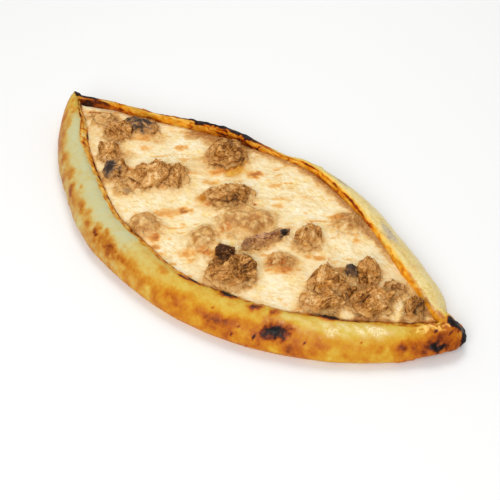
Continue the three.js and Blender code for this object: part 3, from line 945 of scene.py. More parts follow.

# %% [markdown]
# ## Tearing the chunks
# Tone, char and the rest are stored as values on the points of each chunk, so
# that the material can follow the same fibres and places as the relief does.
# Tone also carries painted shade at the chunk's foot and painted light and
# shade at listed places. Every chunk has a seed of its own, so that no two get
# the same noise.

# %% Torn chunks
def torn_chunk(node, seed):
    """Points, outward normals, quads and point values of one torn chunk of meat."""
    look = LOOKS[node]
    points, normals, quads = FINE[node]
    local, bent = fibre_places(points, seed)
    out, hollows = meat_relief(local, bent, seed)
    lee = np.clip(unit(normals * (1, 1, 0)) @ RUN, 0, 1)
    ragged = 0.6 * layered(bent * (0.5, 1, 1), 3, seed + 5, 3)
    char = np.zeros(len(points))
    for away, strength in spots_on(points, look.get("char", []), ragged):
        char = np.maximum(char, strength * (1 - smooth(away, 0, 1.4)))
    # painted shade: the tone darkens towards the chunk's foot at the cheese, and listed places get
    # painted light or shade
    shade = 0.12 * (1 - smooth(points[:, 2] - CHEESE_LEVEL, 1, 8))
    for away, change in spots_on(points, look.get("painted_shading", []), ragged):
        shade = shade + change * (1 - smooth(away, 0.2, 1.6))
    values = {
        "tone": look["tone"] + shade + 0.26 * layered(bent * (0.5, 1, 1), 5.5, seed + 6, 3),
        "mauve": look.get("mauve", 0) * (0.8 + 0.8 * layered(bent, 5, seed + 12, 2)),
        # painted shade: 1 in the gaps between fibres and in pits, where the material darkens the tone
        "hollow": 1 - smooth(hollows, -0.6, 0.2),
        "char": char,
        "lee": lee,
        "along": bent[:, 0] + seed,
        "across": bent[:, 1],
        "up": bent[:, 2],
    }
    return torn_points(points, normals, local, out, lee, look, seed), normals, quads, values


chunks = {node: torn_chunk(node, 100 + 10 * n) for n, node in enumerate(MEATS)}
print("highest meat:", round(max(float(points[:, 2].max()) for points, *_ in chunks.values()), 1), "mm")

# %% [markdown]
# ## Loose fibres
# Where meat is pulled apart, single fibres lift off and fray its outline. Each
# is a thin tube that starts inside the chunk, runs its own way along the
# fibres, and rises a little at its free end. A hair system could grow them too,
# but an exported model doesn't keep it, and tubes are plain mesh.

# %% Fibres on the chunks
FIBRE_RINGS = 6
FIBRE_SIDES = 4
FIBRES_PER_AREA = 0.12   # for each square mm of the chunk's plan
ROOT_DEPTH = 0.3         # mm that a fibre starts inside the meat
LENGTHS = (2, 5)         # mm
LIFTS = (0.2, 1.0)       # mm that its free end stands off
RADII = (0.14, 0.28)     # mm at its root
FREE_END = 0.02          # mm, its radius at the free end
SCATTER = 0.45           # how far it strays from the chunk's own direction
LAID_FLAT = 0.9          # 1 keeps it along the surface, 0 lets it point anywhere


def fibres_on(chunk, seed):
    """Tubes on one chunk: their points, quads, and the chunk point each one starts at."""
    points, normals, _, _ = chunk
    rng = np.random.default_rng(seed)
    area = np.prod(np.ptp(points[:, :2], axis=0))
    above = np.flatnonzero(points[:, 2] > CHEESE_LEVEL + 3)
    starts = rng.choice(above, int(area * FIBRES_PER_AREA))
    count = len(starts)
    along = fibre_axes(points)[0] * rng.choice((-1, 1), (count, 1))
    way = unit(along + rng.normal(0, SCATTER, (count, 3)))
    out = normals[starts]
    way = unit(way - LAID_FLAT * np.sum(way * out, -1, keepdims=True) * out)
    length = rng.uniform(*LENGTHS, (count, 1, 1))
    lift = rng.uniform(*LIFTS, (count, 1, 1))
    side = unit(np.cross(way, out))
    curl = side * rng.normal(0, 1.0, (count, 1))
    t = np.linspace(0, 1, FIBRE_RINGS)[None, :, None]
    root = points[starts] - ROOT_DEPTH * out
    path = (root[:, None] + way[:, None] * length * (t - 0.2)
            + out[:, None] * lift * t**2 + curl[:, None] * t**2)
    thick = rng.uniform(*RADII, (count, 1)) * (1 - 0.75 * t[0, :, 0] ** 2)
    thick[:, -1] = FREE_END
    turn = np.linspace(0, 2 * math.pi, FIBRE_SIDES, endpoint=False)[None, None, :, None]
    spread = np.cos(turn) * side[:, None, None] + np.sin(turn) * out[:, None, None]
    tubes = path[:, :, None] + spread * thick[:, :, None, None]
    index = np.arange(tubes[..., 0].size).reshape(tubes.shape[:3])
    a, b = index[:, :-1], index[:, 1:]
    quads = np.stack([a, np.roll(a, -1, 2), np.roll(b, -1, 2), b], -1).reshape(-1, 4)
    return tubes.reshape(-1, 3), quads, np.repeat(starts, FIBRE_RINGS * FIBRE_SIDES)


fibres = {node: fibres_on(chunks[node], 500 + n) for n, node in enumerate(MEATS)}
print("fibres:", sum(len(points) for points, *_ in fibres.values()) // (FIBRE_RINGS * FIBRE_SIDES))

# %% [markdown]
# ## Melted cheese
# The cheese is one sheet that fills the hollow. It climbs a little where it
# clings to meat, sags between, and lies as a thin skin over the chunks that
# went in first. The sheet is a net of points like the dough's, with a height
# for each point, so that distances to the meat and to the rim can shape it.

# %% The net of cheese
CHEESE_ROWS = 430
CHEESE_ACROSS = 171
LAST_ROW = 0.997     # S of the first and last row, just inside the hollow's ends
SUNK_IN_RIM = 0.9    # mm that the sheet reaches into the dough
FULLY_SUNK = 20      # mm of the hollow's width from which it reaches in that far
EDGES_DENSER = 0.25  # 0 spaces the points evenly, 1 crowds them at both edges
STREAKS = math.radians(41)   # the way the melted shreds run, from +X

bed_s = np.linspace(-LAST_ROW, LAST_ROW, CHEESE_ROWS)
near_edge = edge(HOLLOW, "near", bed_s)
far_edge = edge(HOLLOW, "far", bed_s)
widths = far_edge[:, 1:] - near_edge[:, 1:]
overlap = np.minimum(1, widths / FULLY_SUNK) * (0, SUNK_IN_RIM)
near_edge, far_edge = near_edge - overlap, far_edge + overlap
crowded = (1 - np.cos(np.linspace(0, math.pi, CHEESE_ACROSS))) / 2
share = EDGES_DENSER * crowded + (1 - EDGES_DENSER) * np.linspace(0, 1, CHEESE_ACROSS)
SHEET = near_edge[:, None] + (far_edge - near_edge)[:, None] * share[None, :, None]
FLAT_SHEET = np.concatenate([SHEET, np.zeros(SHEET.shape[:2] + (1,))], -1)
from_edge = 1 - np.abs(2 * share - 1)


def wandering(size, seed, layers=3):
    """Noise over the sheet."""
    return layered(FLAT_SHEET, size, seed, layers)


def along_shreds(x, y):
    """Distances turned to run along the shreds and across them."""
    c, s = math.cos(STREAKS), math.sin(STREAKS)
    return x * c + y * s, y * c - x * s


def streaked(size, seed, layers=2, stretch=4):
    """Noise over the sheet, drawn out along the shreds."""
    along, across = along_shreds(SHEET[..., 0], SHEET[..., 1])
    turned = np.stack([along, across, 0 * across], -1)
    return layered(turned * (1 / stretch, 1, 1), size, seed, layers)


print("cheese points:", SHEET.shape[:2])

# %% [markdown]
# ## How far from the meat
# Cheese behaves by its distance from the meat, so each point of the net needs
# that distance. A search tree finds the nearest of many points quickly. For the
# chunks under the skin, rays shot down at the net find their tops instead.

# %% Distances to the meat
def plan_tree(points):
    """A search tree over points seen from above."""
    tree = KDTree(len(points))
    for n, (x, y) in enumerate(points):
        tree.insert((x, y, 0), n)
    tree.balance()
    return tree


def over_chunks(wanted):
    """Height of the tops of the wanted chunks at each point of the net, or 0."""
    tops = np.zeros(SHEET.shape[:2])
    for node in wanted:
        points, _, quads, _ = chunks[node]
        surface = BVHTree.FromPolygons(points.tolist(), quads.tolist())
        low, high = points[:, :2].min(0), points[:, :2].max(0)
        inside = np.all((SHEET > low) & (SHEET < high), -1)
        for i, j in np.argwhere(inside):
            hit = surface.ray_cast(Vector((*SHEET[i, j], 60)), Vector((0, 0, -1)))[0]
            if hit:
                tops[i, j] = max(tops[i, j], hit.z)
    return tops


veiled = [node for node in MEATS if LOOKS[node].get("veil", 0) >= 0.5]
exposed = [node for node in MEATS if node not in veiled]
tops = over_chunks(veiled)
all_points = np.concatenate([points for points, *_ in chunks.values()])
at_cheese = all_points[np.abs(all_points[:, 2] - CHEESE_LEVEL - 1) < 1.5]
meat_tree = plan_tree(at_cheese[:, :2])
found = [meat_tree.find((x, y, 0)) for x, y in SHEET.reshape(-1, 2)]
to_meat = np.array([distance for _, _, distance in found]).reshape(SHEET.shape[:2])
away = SHEET - np.array([place[:2] for place, _, _ in found]).reshape(SHEET.shape)
lee_side = np.clip(0.5 + 0.5 * (away @ RUN[:2]) / np.maximum(to_meat, 0.1), 0, 1)
to_meat = np.where(over_chunks(exposed) > 0, 0, to_meat)
print("covered chunks:", veiled)

# %% [markdown]
# ## Heights of the cheese
# The sheet is highest in its middle and swells and dips as melted shreds do. It
# climbs the meat, further on the side to which the melt ran, and its torn skin
# lies over the covered chunks. Repeated blurring rounds the skin over them.

# %% Heights of the cheese
CHEESE_CROWN = 1.5   # mm that its middle stands above its edge
SKIN = 1.2           # mm of cheese over the covered chunks
NOSE_DIP = 2.5       # mm that the cheese sinks to the low rim at the nose
BLURS = 14


def blurred(field):
    """A field on the net with each value drawn towards its neighbours, many times."""
    for _ in range(BLURS):
        padded = np.pad(field, 1, mode="edge")
        beside = padded[:-2, 1:-1] + padded[2:, 1:-1] + padded[1:-1, :-2] + padded[1:-1, 2:]
        field = (beside + 4 * field) / 8
    return field


swell = 0.8 * wandering(21, 31, 1) + 0.6 * wandering(9, 32)
shreds = 0.30 * streaked(1.9, 33) + 0.35 * streaked(5, 34)
height = CHEESE_LEVEL + CHEESE_CROWN * np.sin(math.pi / 2 * from_edge)
height = height + swell * np.minimum(1, 0.3 + from_edge) + shreds * smooth(from_edge, 0, 0.1)
height = height - NOSE_DIP * smooth(SHEET[..., 0], 130, 158)
uneven = 0.7 + 0.7 * wandering(4, 35, 2)
climb = (0.7 + 2.9 * lee_side) * np.exp(-to_meat / (1.3 + 2.6 * lee_side)) * uneven
veil = blurred(np.maximum(tops - height, 0))
covered = smooth(veil, 0.1, 2.2)
torn_skin = SKIN + 0.4 * wandering(7, 36, 2) + 0.6 * wandering(2.6, 37, 2)
height = height + np.where(tops > 0, 0, climb) + veil + covered * torn_skin
print("cheese from", height.min().round(1), "to", height.max().round(1), "mm")

# %% [markdown]
# ## Colour of the cheese
# Melted cheese is cream, with tan blisters where it toasted, yellow where fat
# ran out of the meat, and a brown tint where meat or its juice shows through.
# Named places say where, and each is an oval that lies along the shreds.

# %% Places on the cheese
# each place: x, y, half length along the shreds, half width, how much
TOASTED = [
    (-147, 21.5, 10, 0.7, 1), (8.4, 22, 1.1, 1.0, 1.8),
    (-72, 33, 5, 3.2, 0.6), (-91, 15, 5, 3, 0.5), (-12, 46, 6, 3.6, 0.9), (-34, 29, 5, 3, 0.7),
    (-30, 19, 6, 2.6, 0.5), (-31.5, -23, 11, 4, 0.6), (-24, -14, 5, 3.4, 0.9), (-40, -36, 8, 3.6, 0.5),
    (-21, -46, 4, 3, 0.8), (9, -8, 3.4, 3, 0.7), (4.5, -42, 5.4, 3, 0.6), (-15.5, -51, 4, 2.4, 0.7),
    (-10, -55, 5, 2.6, 0.6), (5.6, 46, 4, 2.2, 0.5), (20.5, 31.6, 4, 2.2, 0.5), (58, 49, 5, 3, 0.5),
    (73, 11, 6, 2.2, 0.7), (54, -10, 6, 3.4, 0.6), (62, -13, 7, 2.6, 0.5), (82, 40, 4, 1.8, 0.3),
    (-82, -9, 5, 2.6, 0.5), (12.8, -33, 5, 3.2, 0.7), (-100, 20, 6, 3, 0.5),
    (17, 38, 6, 1.6, 0.35), (40, 20, 5, 1.6, 0.3), (-62, 12, 6, 2.4, 0.4), (20, 10, 6, 4, 0.35),
    (-45, 18, 5, 2, 0.35), (-5, 62, 4, 1.6, 0.3), (30, 52, 4, 1.6, 0.3), (48, 36, 5, 1.6, 0.25),
]
OILY = [
    (-26, 41, 8, 5, 1.3), (-26, 36, 6, 5, 1.0), (-28, 49, 5, 4, 0.8), (-55, 31, 6, 3, 0.5),
    (-22, 2, 5, 3, 0.9), (36, 45, 4, 2, 0.4), (-20, 8, 8, 4, 0.6), (20, -30, 5, 5, 0.5),
    (104, 24, 8, 6, 0.2), (-66, -2, 12, 5, 0.35), (-50, 24, 10, 6, 0.25),
]
JUICY = [
    (-148, 18, 9, 4, 0.9), (-136, 23, 12, 6, 0.8), (-150, 12, 6, 4, 0.8), (-72, 51, 12, 4, 0.9),
    (-58, 55, 14, 5, 0.8), (-80, 50, 8, 2.5, 0.7), (20, -1, 14, 7, 0.4),
    (-127, 12, 14, 8, 0.5), (-118, 22, 18, 9, 0.55), (-98, -2, 12, 8, 0.6), (-84, -22, 14, 8, 0.6),
    (-70, -14, 22, 10, 0.5), (-58, -6, 20, 8, 0.45), (-92, 28, 12, 7, 0.5), (-40, 40, 22, 12, 0.4),
    (-8, 10, 20, 10, 0.45), (18, 2, 24, 12, 0.5), (28, -34, 18, 10, 0.5), (44, -38, 16, 9, 0.5),
    (2, -24, 16, 10, 0.3), (-32, -42, 18, 10, 0.25), (58, 12, 14, 8, 0.4), (62, -10, 16, 8, 0.4),
    (98, -14, 20, 10, 0.35), (116, 4, 24, 14, 0.3), (132, 20, 14, 7, 0.3), (92, 8, 16, 9, 0.3),
    (64, 50, 16, 7, 0.3), (150, 18, 8, 4, 0.5), (36, -8, 16, 6, 0.35),
]


def places(spots, ragged):
    """The strongest of the spots at each point of the net, with ragged borders."""
    total = np.zeros(SHEET.shape[:2])
    for x, y, long, wide, much in spots:
        along, across = along_shreds(SHEET[..., 0] - x, SHEET[..., 1] - y)
        reached = 1 - smooth(np.hypot(along / long, across / wide) + ragged, 0.2, 1.6)
        total = np.maximum(total, much * reached)
    return total


print("named places:", len(TOASTED) + len(OILY) + len(JUICY))

# %% [markdown]
# ## Toast, oil, stain and painted shadow
# Three values go onto the sheet. Toast is the blisters and many small flecks.
# Oil is the pools of fat and a thin rim of it round each chunk. Stain gathers
# what makes cheese tan, meat under the skin and juice round the chunks, and it
# carries painted shade along both rims: below the far lip a band that is partly
# tan stain from the crust and partly painted shadow, and painted shadow in the
# gap under the near lip.

# %% Values of the cheese
bed_width = (far_edge - near_edge)[:, 1:]
from_far = (1 - share)[None] * bed_width
from_near = share[None] * bed_width
fray = 1 + 0.5 * wandering(8, 46)
along_far = 0.2 + 0.8 * smooth(SHEET[..., 0], -95, -60) * (1 - 0.8 * smooth(SHEET[..., 0], 90, 120))
# along both rims the cheese is darkened: below the far lip a band that is partly tan stain and partly
# painted shadow, and under the near lip painted shadow in the gap
far_rim_stain_and_shadow = along_far * (0.75 * bell(from_far, 0, 5 * fray) + 0.4 * bell(from_far, 0, 9 * fray))
painted_near_gap_shadow = 0.5 * bell(from_near, 0, 1.2 * fray)
flecks = 0.45 * smooth(streaked(3.2, 41, 3, 2.6), 0.28, 0.62) * smooth(wandering(24, 42, 2), -0.3, 0.4)
toast = np.clip(places(TOASTED, 0.55 * wandering(3.2, 43)) + flecks, 0, 1)
through_skin = 0.46 * covered * (1 + 0.9 * wandering(4, 45))
juice = places(JUICY, 0.6 * wandering(9, 47))
round_meat = np.exp(-np.maximum(0, to_meat + 2.5 * wandering(6, 48)) / (1.0 + 3.6 * lee_side))
round_meat = round_meat * (1 - 0.6 * smooth(blurred((tops > 0) * 1.0), 0, 0.5))
from_meat = through_skin + (0.42 + 0.16 * lee_side) * round_meat + 0.8 * juice
cheese_values = {
    "toast": toast * (1 - 0.55 * covered),
    "oil": places(OILY, 0.35 * wandering(5, 44, 2)) + 0.3 * np.exp(-to_meat / 2.5),
    "stain_and_shadow": np.clip(from_meat + far_rim_stain_and_shadow + painted_near_gap_shadow, 0, 1),
}
print("mean of each value:", {key: round(float(value.mean()), 3) for key, value in cheese_values.items()})

# %% [markdown]
# ## Closing the sheet
# The cheese is a thick bed and not a film, so the sheet needs an underside too.
# Three more points in each row run down both edges and along the floor of the
# hollow, and make closed rings of it, like those of the dough. A modifier that
# thickens it would push its edges through the rim.

# %% Cheese piece
FOOT = FLOOR + 0.3   # the underside of the cheese, just above the dough
middle = (near_edge + far_edge) / 2
bottom = [level(line, FOOT)[:, None] for line in (middle, near_edge, far_edge)]
top_net = np.concatenate([SHEET, height[..., None]], -1)
CHEESE = np.concatenate([bottom[0], bottom[1], top_net, bottom[2]], 1)


def on_ring(field):
    """A value on the sheet, repeated for the three points of the underside."""
    return np.concatenate([field[:, :1], field[:, :1], field, field[:, -1:]], 1).ravel()


cheese = make_piece(
    "cheese_melted",
    CHEESE.reshape(-1, 3),
    [ring_faces(CHEESE_ROWS, CHEESE.shape[1])],
    {key: on_ring(field) for key, field in cheese_values.items()},
)
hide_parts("cheese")

# %% [markdown]
# ## Meat pieces
# Each chunk now becomes an object of its own. How much melted cheese clings to
# it depends on how far each point stands above the sheet around it, so that
# value comes last, when the heights of the cheese are known. Every third point
# of the net is near enough for that, and quicker to search.

# %% Meat pieces
coarse_net = SHEET[::3, ::3].reshape(-1, 2)
coarse_heights = height[::3, ::3].ravel()
sheet_tree = plan_tree(coarse_net)


def film_on(points, lee, look, seed):
    """How much melted cheese clings to each point of a chunk."""
    nearest = [sheet_tree.find((x, y, 0))[1] for x, y, _ in points]
    above = points[:, 2] - coarse_heights[nearest] + 1.2 * layered(points * (1, 1, 0.5), 3, seed, 3)
    film = 1 - smooth(above, 0, 1.4 + 5 * lee)
    return np.clip(film + look.get("veil", 0) - look.get("bare", 0), 0, 1)


meats = {}
for n, node in enumerate(MEATS):
    points, _, quads, values = chunks[node]
    values["film"] = film_on(points, values.pop("lee"), LOOKS[node], 300 + n)
    tubes, tube_quads, roots = fibres[node]
    values = {key: np.concatenate([value, value[roots]]) for key, value in values.items()}
    values["hollow"][len(points):] = 0
    values["along"][len(points):] += 0.5 * tubes[:, 0]
    all_quads = [quads, tube_quads + len(points)]
    meats[node] = make_piece(node + "_torn", np.concatenate([points, tubes]), all_quads, values)
    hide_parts(node)
print("meat pieces:", len(meats))

# %% [markdown]
# ## Helpers for materials
# A material is a small program made of nodes. These helpers only shorten the
# writing. A socket knows the node tree that it is in, so a new node goes into
# the tree of the value that it takes. Colours are written as on a screen, from
# 0 to 255, and turned into linear light.

# %% Colours, nodes and their inputs
def colour(red, green, blue):
    """A screen colour as linear light with full alpha."""
    parts = [c / 255 for c in (red, green, blue)]
    return [c / 12.92 if c <= 0.04045 else ((c + 0.055) / 1.055) ** 2.4 for c in parts] + [1]


def is_socket(value):
    """True for what comes out of a node, and False for a plain number or colour."""
    return isinstance(value, bpy.types.NodeSocket)


def fill(node, inputs):
    """Set inputs of a node, each by a value or by a link from a socket."""
    for key, value in inputs.items():
        if is_socket(value):
            node.id_data.links.new(value, node.inputs[key])
        else:
            node.inputs[key].default_value = value


def add(tree, kind, inputs=None, **settings):
    """A new shader node with its settings and its inputs."""
    made = tree.nodes.new("ShaderNode" + kind)
    for key, value in settings.items():
        setattr(made, key, value)
    fill(made, inputs or {})
    return made


print("pale dough in linear light:", [round(c, 3) for c in colour(200, 196, 148)])

# %% [markdown]
# ## Sums, mixes and ramps
# Three kinds of node do most of the work. Math adds and scales values, Mix lays
# one colour over another where a mask says so, and a colour ramp turns a value
# into a colour. An Attribute node reads back what was stored on the mesh.

# %% Sums, mixes and ramps
def maths(how, a, b, clamp=False):
    """A sum of two values, of which at least one comes from a node."""
    tree = (a if is_socket(a) else b).id_data
    return add(tree, "Math", {0: a, 1: b}, operation=how, use_clamp=clamp).outputs[0]


def plus(a, b, clamp=False):
    return maths("ADD", a, b, clamp)


def times(a, b, clamp=False):
    return maths("MULTIPLY", a, b, clamp)


def mixed(mask, under, over, how="MIX"):
    """One colour laid over another where the mask is 1."""
    made = add(under.id_data, "Mix", {0: mask, 6: under, 7: over}, data_type="RGBA", blend_type=how)
    return made.outputs[2]


def ramp(value, *stops):
    """A ramp whose stops are a position and a screen colour each."""
    made = add(value.id_data, "ValToRGB", {0: value})
    band = made.color_ramp
    while len(band.elements) < len(stops):
        band.elements.new(1)
    for element, (position, *shade) in zip(band.elements, stops):
        element.position = position
        element.color = colour(*shade)
    return made.outputs[0]


def stored(tree, key):
    """A value that was stored on the mesh."""
    return add(tree, "Attribute", attribute_name=key).outputs["Fac"]


# %% [markdown]
# ## Starting and ending a material
# All three foods start alike, with coordinates in millimetres that stay with
# the object, and end alike, with values for the shader. The shader itself stays
# in the material, and what is the same everywhere is set on its own socket.

# %% Materials for food
def food(name):
    """A new material, its node tree, and object coordinates in mm."""
    material = bpy.data.materials.new(name)
    material.use_nodes = True
    tree = material.node_tree
    place = add(tree, "TexCoord").outputs["Object"]
    in_mm = add(tree, "VectorMath", {0: place, "Scale": 1 / MM}, operation="SCALE").outputs[0]
    return material, tree, in_mm


def dress(pieces, material, inputs):
    """Fill a material's shader and give the material to its pieces."""
    fill(material.node_tree.nodes["Principled BSDF"], inputs)
    for piece in pieces:
        piece.data.materials.append(material)
    print(material.name, "nodes:", len(material.node_tree.nodes), "pieces:", len(pieces))


def new_group(name, inputs, output, kind):
    """An empty node group with its sockets: its tree, what it is given, and its output node."""
    tree = bpy.data.node_groups.new(name, "ShaderNodeTree")
    for title, value in inputs.items():
        socket_type = "NodeSocketVector" if value is None else "NodeSocketFloat"
        socket = tree.interface.new_socket(title, in_out="INPUT", socket_type=socket_type)
        if value is not None:
            socket.default_value = value
    tree.interface.new_socket(output, in_out="OUTPUT", socket_type=kind)
    return tree, tree.nodes.new("NodeGroupInput").outputs, tree.nodes.new("NodeGroupOutput")


def use(group, place, **values):
    """What a node group makes at a place, with values of its own."""
    return add(place.id_data, "Group", {"Place": place, **values}, node_tree=group).outputs[0]


# %% [markdown]
# ## Mottle
# Three effects recur on dough, cheese and meat: mottle, specks and grain. Each
# is a node group with sizes in millimetres, so every material can set its own.
# Mottle is a soft value that wanders round zero and shifts how baked or how
# dark a spot is. A noise texture gives it, with its middle moved to zero.

# %% The mottle group
mottle, given, result = new_group(
    "Mottle", {"Place": None, "Size": 3.0, "Amount": 1.0}, "Value", "NodeSocketFloat"
)
cloud = add(mottle, "TexNoise", {
    "Vector": given["Place"], "Scale": maths("DIVIDE", 1.0, given["Size"]),
    "Detail": 4.0, "Roughness": 0.62,
})
fill(result, {"Value": times(maths("SUBTRACT", cloud.outputs["Fac"], 0.5), given["Amount"])})
print("mottle nodes:", len(mottle.nodes))

# %% [markdown]
# ## Specks
# Specks are small, sharp marks, such as crumbs and tiny blisters. A Voronoi
# texture gives the distance from the nearest of many scattered points, and a
# speck is where that distance is small. Broad noise makes them sparse in
# places, because specks at even distances would look like a print.

# %% The specks group
specks, given, result = new_group(
    "Specks", {"Place": None, "Size": 1.5, "Cover": 0.2, "Softness": 0.05}, "Mask", "NodeSocketFloat"
)
cells = add(specks, "TexVoronoi", {
    "Vector": given["Place"], "Scale": maths("DIVIDE", 1.0, given["Size"]), "Randomness": 1.0,
})
thin_out = add(specks, "TexNoise", {"Vector": given["Place"], "Scale": 0.11, "Detail": 2.0})
speck_size = times(thin_out.outputs["Fac"], given["Cover"])
inside = maths("SUBTRACT", speck_size, cells.outputs["Distance"])
fill(result, {"Mask": maths("DIVIDE", inside, given["Softness"], clamp=True)})
print("specks nodes:", len(specks.nodes))

# %% [markdown]
# ## Grain
# Grain is fine relief that breaks up the gloss. It is too small to be worth
# faces, so a Bump node tilts the normals instead, and the outline stays as it is.

# %% The grain group
grain, given, result = new_group(
    "Grain", {"Place": None, "Size": 1.0, "Depth": 0.3}, "Normal", "NodeSocketVector"
)
rough = add(grain, "TexNoise", {
    "Vector": given["Place"], "Scale": maths("DIVIDE", 1.0, given["Size"]),
    "Detail": 5.0, "Roughness": 0.6,
})
bump = add(grain, "Bump", {
    "Height": rough.outputs["Fac"], "Strength": given["Depth"], "Distance": MM,
})
fill(result, {"Normal": bump.outputs["Normal"]})
print("groups:", [tree.name for tree in bpy.data.node_groups])

# %% [markdown]
# ## Baked dough
# Ramps read the stored baking value: one for dough that browns through yellow
# and gold, one for the pale, faintly green cream of dough that only dried, and
# one for the clear orange of thin dough that fried. The first two share their
# dark end. Fine mottle is added to the value before the ramps and not to the
# colour after them, so that it browns the way dough does.

# %% Colours of the dough
crust_look, tree, place = food("baked_dough")
soft = use(mottle, place, Size=5.0, Amount=0.40)
fine = use(mottle, place, Size=1.5, Amount=0.20)
dots = use(specks, place, Size=5.0, Cover=0.3, Softness=0.2)
baked = plus(plus(stored(tree, "baked"), soft), fine)
baked = plus(baked, times(dots, 0.08), clamp=True)
BURNT_END = (0.9, 48, 20, 8), (1.0, 16, 11, 9)
golden = ramp(
    baked, (0.0, 228, 206, 126), (0.2, 217, 181, 62), (0.36, 210, 151, 26), (0.5, 200, 123, 8),
    (0.64, 180, 91, 4), (0.78, 122, 48, 4), *BURNT_END,
)
pale = ramp(
    baked, (0.0, 200, 196, 148), (0.2, 204, 186, 118), (0.36, 202, 156, 72), (0.5, 192, 126, 34),
    (0.64, 168, 90, 14), (0.78, 112, 46, 8), *BURNT_END,
)
orange = ramp(
    baked, (0.25, 255, 206, 96), (0.45, 244, 166, 24), (0.6, 214, 112, 4), (0.75, 140, 44, 4),
    (0.9, 40, 16, 8),
)
dough = mixed(stored(tree, "pallor"), golden, pale)
dough = mixed(times(stored(tree, "amber"), 0.85), dough, orange)
dough = mixed(times(stored(tree, "bruise"), 0.8), dough, colour(132, 118, 128))
print("nodes for the dough's colour:", len(tree.nodes))

# %% [markdown]
# ## Painted glints and gloss
# Pale glints of highlight are painted on the crown as small flecks rather than as
# an even coat, so their mask is broken up by strong fine mottle. Well baked dough
# is glossier than pale dough, and the dough under the glints is glossier still.

# %% Finish of the dough
gloss_and_painted_glints = stored(tree, "gloss_and_painted_glints")
# painted highlight: pale glints mixed into the dough's colour where the glossy mask is strong; the same
# mask also lowers roughness
painted_glints = times(gloss_and_painted_glints, plus(times(fine, 18.0), 0.75))
dough = mixed(times(painted_glints, 0.85, clamp=True), dough, colour(252, 232, 180))
gloss = add(tree, "MapRange", {
    "Value": baked, "From Min": 0.2, "From Max": 0.9, "To Min": 0.48, "To Max": 0.34,
}).outputs[0]
dress([crust], crust_look, {
    "Base Color": dough,
    "Roughness": maths("SUBTRACT", gloss, times(gloss_and_painted_glints, 0.2)),
    "Specular IOR Level": 0.18,
    "Normal": use(grain, place, Size=1.2, Depth=0.35),
})

# %% [markdown]
# ## Melted cheese
# The base is cream, streaked along the way the shreds fell. Stretching the
# coordinates before the mottle is what makes streaks of it. Where meat or juice
# stain the cheese, and where shadow is painted along the rims, a second ramp in
# tan is laid over the cream.

# %% Cream and stain
cheese_look, tree, place = food("melted_cheese")
turned = add(tree, "Mapping", {
    "Vector": place, "Rotation": (0, 0, -STREAKS), "Scale": (0.3, 1, 1),
}, vector_type="POINT").outputs[0]
streak = use(mottle, turned, Size=1.2, Amount=1.2)
broad = use(mottle, place, Size=10.0, Amount=1.1)
fine = use(mottle, turned, Size=1.2, Amount=0.5)
crumbs = use(specks, turned, Size=2.2, Cover=0.62, Softness=0.15)
mottled = use(mottle, place, Size=2.2, Amount=1.6)
cream = ramp(
    plus(plus(streak, broad), 0.52, clamp=True), (0.15, 228, 188, 122), (0.38, 240, 212, 154),
    (0.6, 247, 230, 188), (0.85, 252, 243, 216),
)
cream = mixed(times(crumbs, 0.5), cream, colour(226, 184, 104))
# the stored value carries stain, and painted shadow along the rims
stain_and_shadow = plus(stored(tree, "stain_and_shadow"), times(fine, 0.5))
stain_and_shadow = plus(stain_and_shadow, times(mottled, stored(tree, "stain_and_shadow")), clamp=True)
tan = ramp(stain_and_shadow, (0.0, 248, 230, 182), (0.3, 238, 206, 146), (0.6, 220, 174, 106), (1.0, 180, 126, 66))
look = mixed(times(stain_and_shadow, 1.8, clamp=True), cream, tan)
print("nodes for cream and stain:", len(tree.nodes))

# %% [markdown]
# ## Fat and toast
# Fat and browning don't cover cheese, they tint it, so they are multiplied with
# the colour below. A broad yellow tint comes first, where the fat is in the
# cheese itself. Pools of fat are glossy and dry blisters are not, so roughness
# follows the same value.

# %% Finish of the cheese
yellow = use(mottle, place, Size=6.0, Amount=3.0)
look = mixed(times(yellow, 1.0, clamp=True), look, colour(255, 240, 176), "MULTIPLY")
oil = stored(tree, "oil")
look = mixed(oil, look, colour(232, 190, 72), "MULTIPLY")
toast = stored(tree, "toast")
browned = ramp(
    plus(toast, times(fine, toast), clamp=True), (0.0, 255, 255, 255), (0.35, 249, 216, 166),
    (0.65, 230, 172, 104), (1.0, 170, 106, 52),
)
look = mixed(1.0, look, browned, "MULTIPLY")
dress([cheese], cheese_look, {
    "Base Color": look,
    "Roughness": add(tree, "MapRange", {"Value": oil, "To Min": 0.5, "To Max": 0.22}).outputs[0],
    "Specular IOR Level": 0.3,
    "Normal": use(grain, turned, Size=1.1, Depth=0.5),
})

# %% [markdown]
# ## Braised meat
# Meat is light where its fibres stand out, and shade is painted dark into the
# gaps between them. The stored coordinates run along the fibres of each chunk,
# so mottle that is stretched in them draws fibres. Some chunks are mauve inside,
# and broad patches of ocher come from the juice in which the meat was braised.

# %% Flesh
meat_look, tree, place = food("braised_meat")
grown = add(tree, "CombineXYZ", {
    0: times(stored(tree, "along"), 0.2), 1: stored(tree, "across"), 2: stored(tree, "up"),
}).outputs[0]
fibre = use(mottle, grown, Size=0.9, Amount=1.5)
patch = use(mottle, place, Size=2.4, Amount=0.9)
crumbs = use(specks, grown, Size=2.0, Cover=0.7, Softness=0.12)
# the stored tone carries painted shade at each chunk's foot and painted light and shade at listed places
tone = plus(stored(tree, "tone"), plus(fibre, patch))
tone = plus(tone, times(crumbs, 0.22))
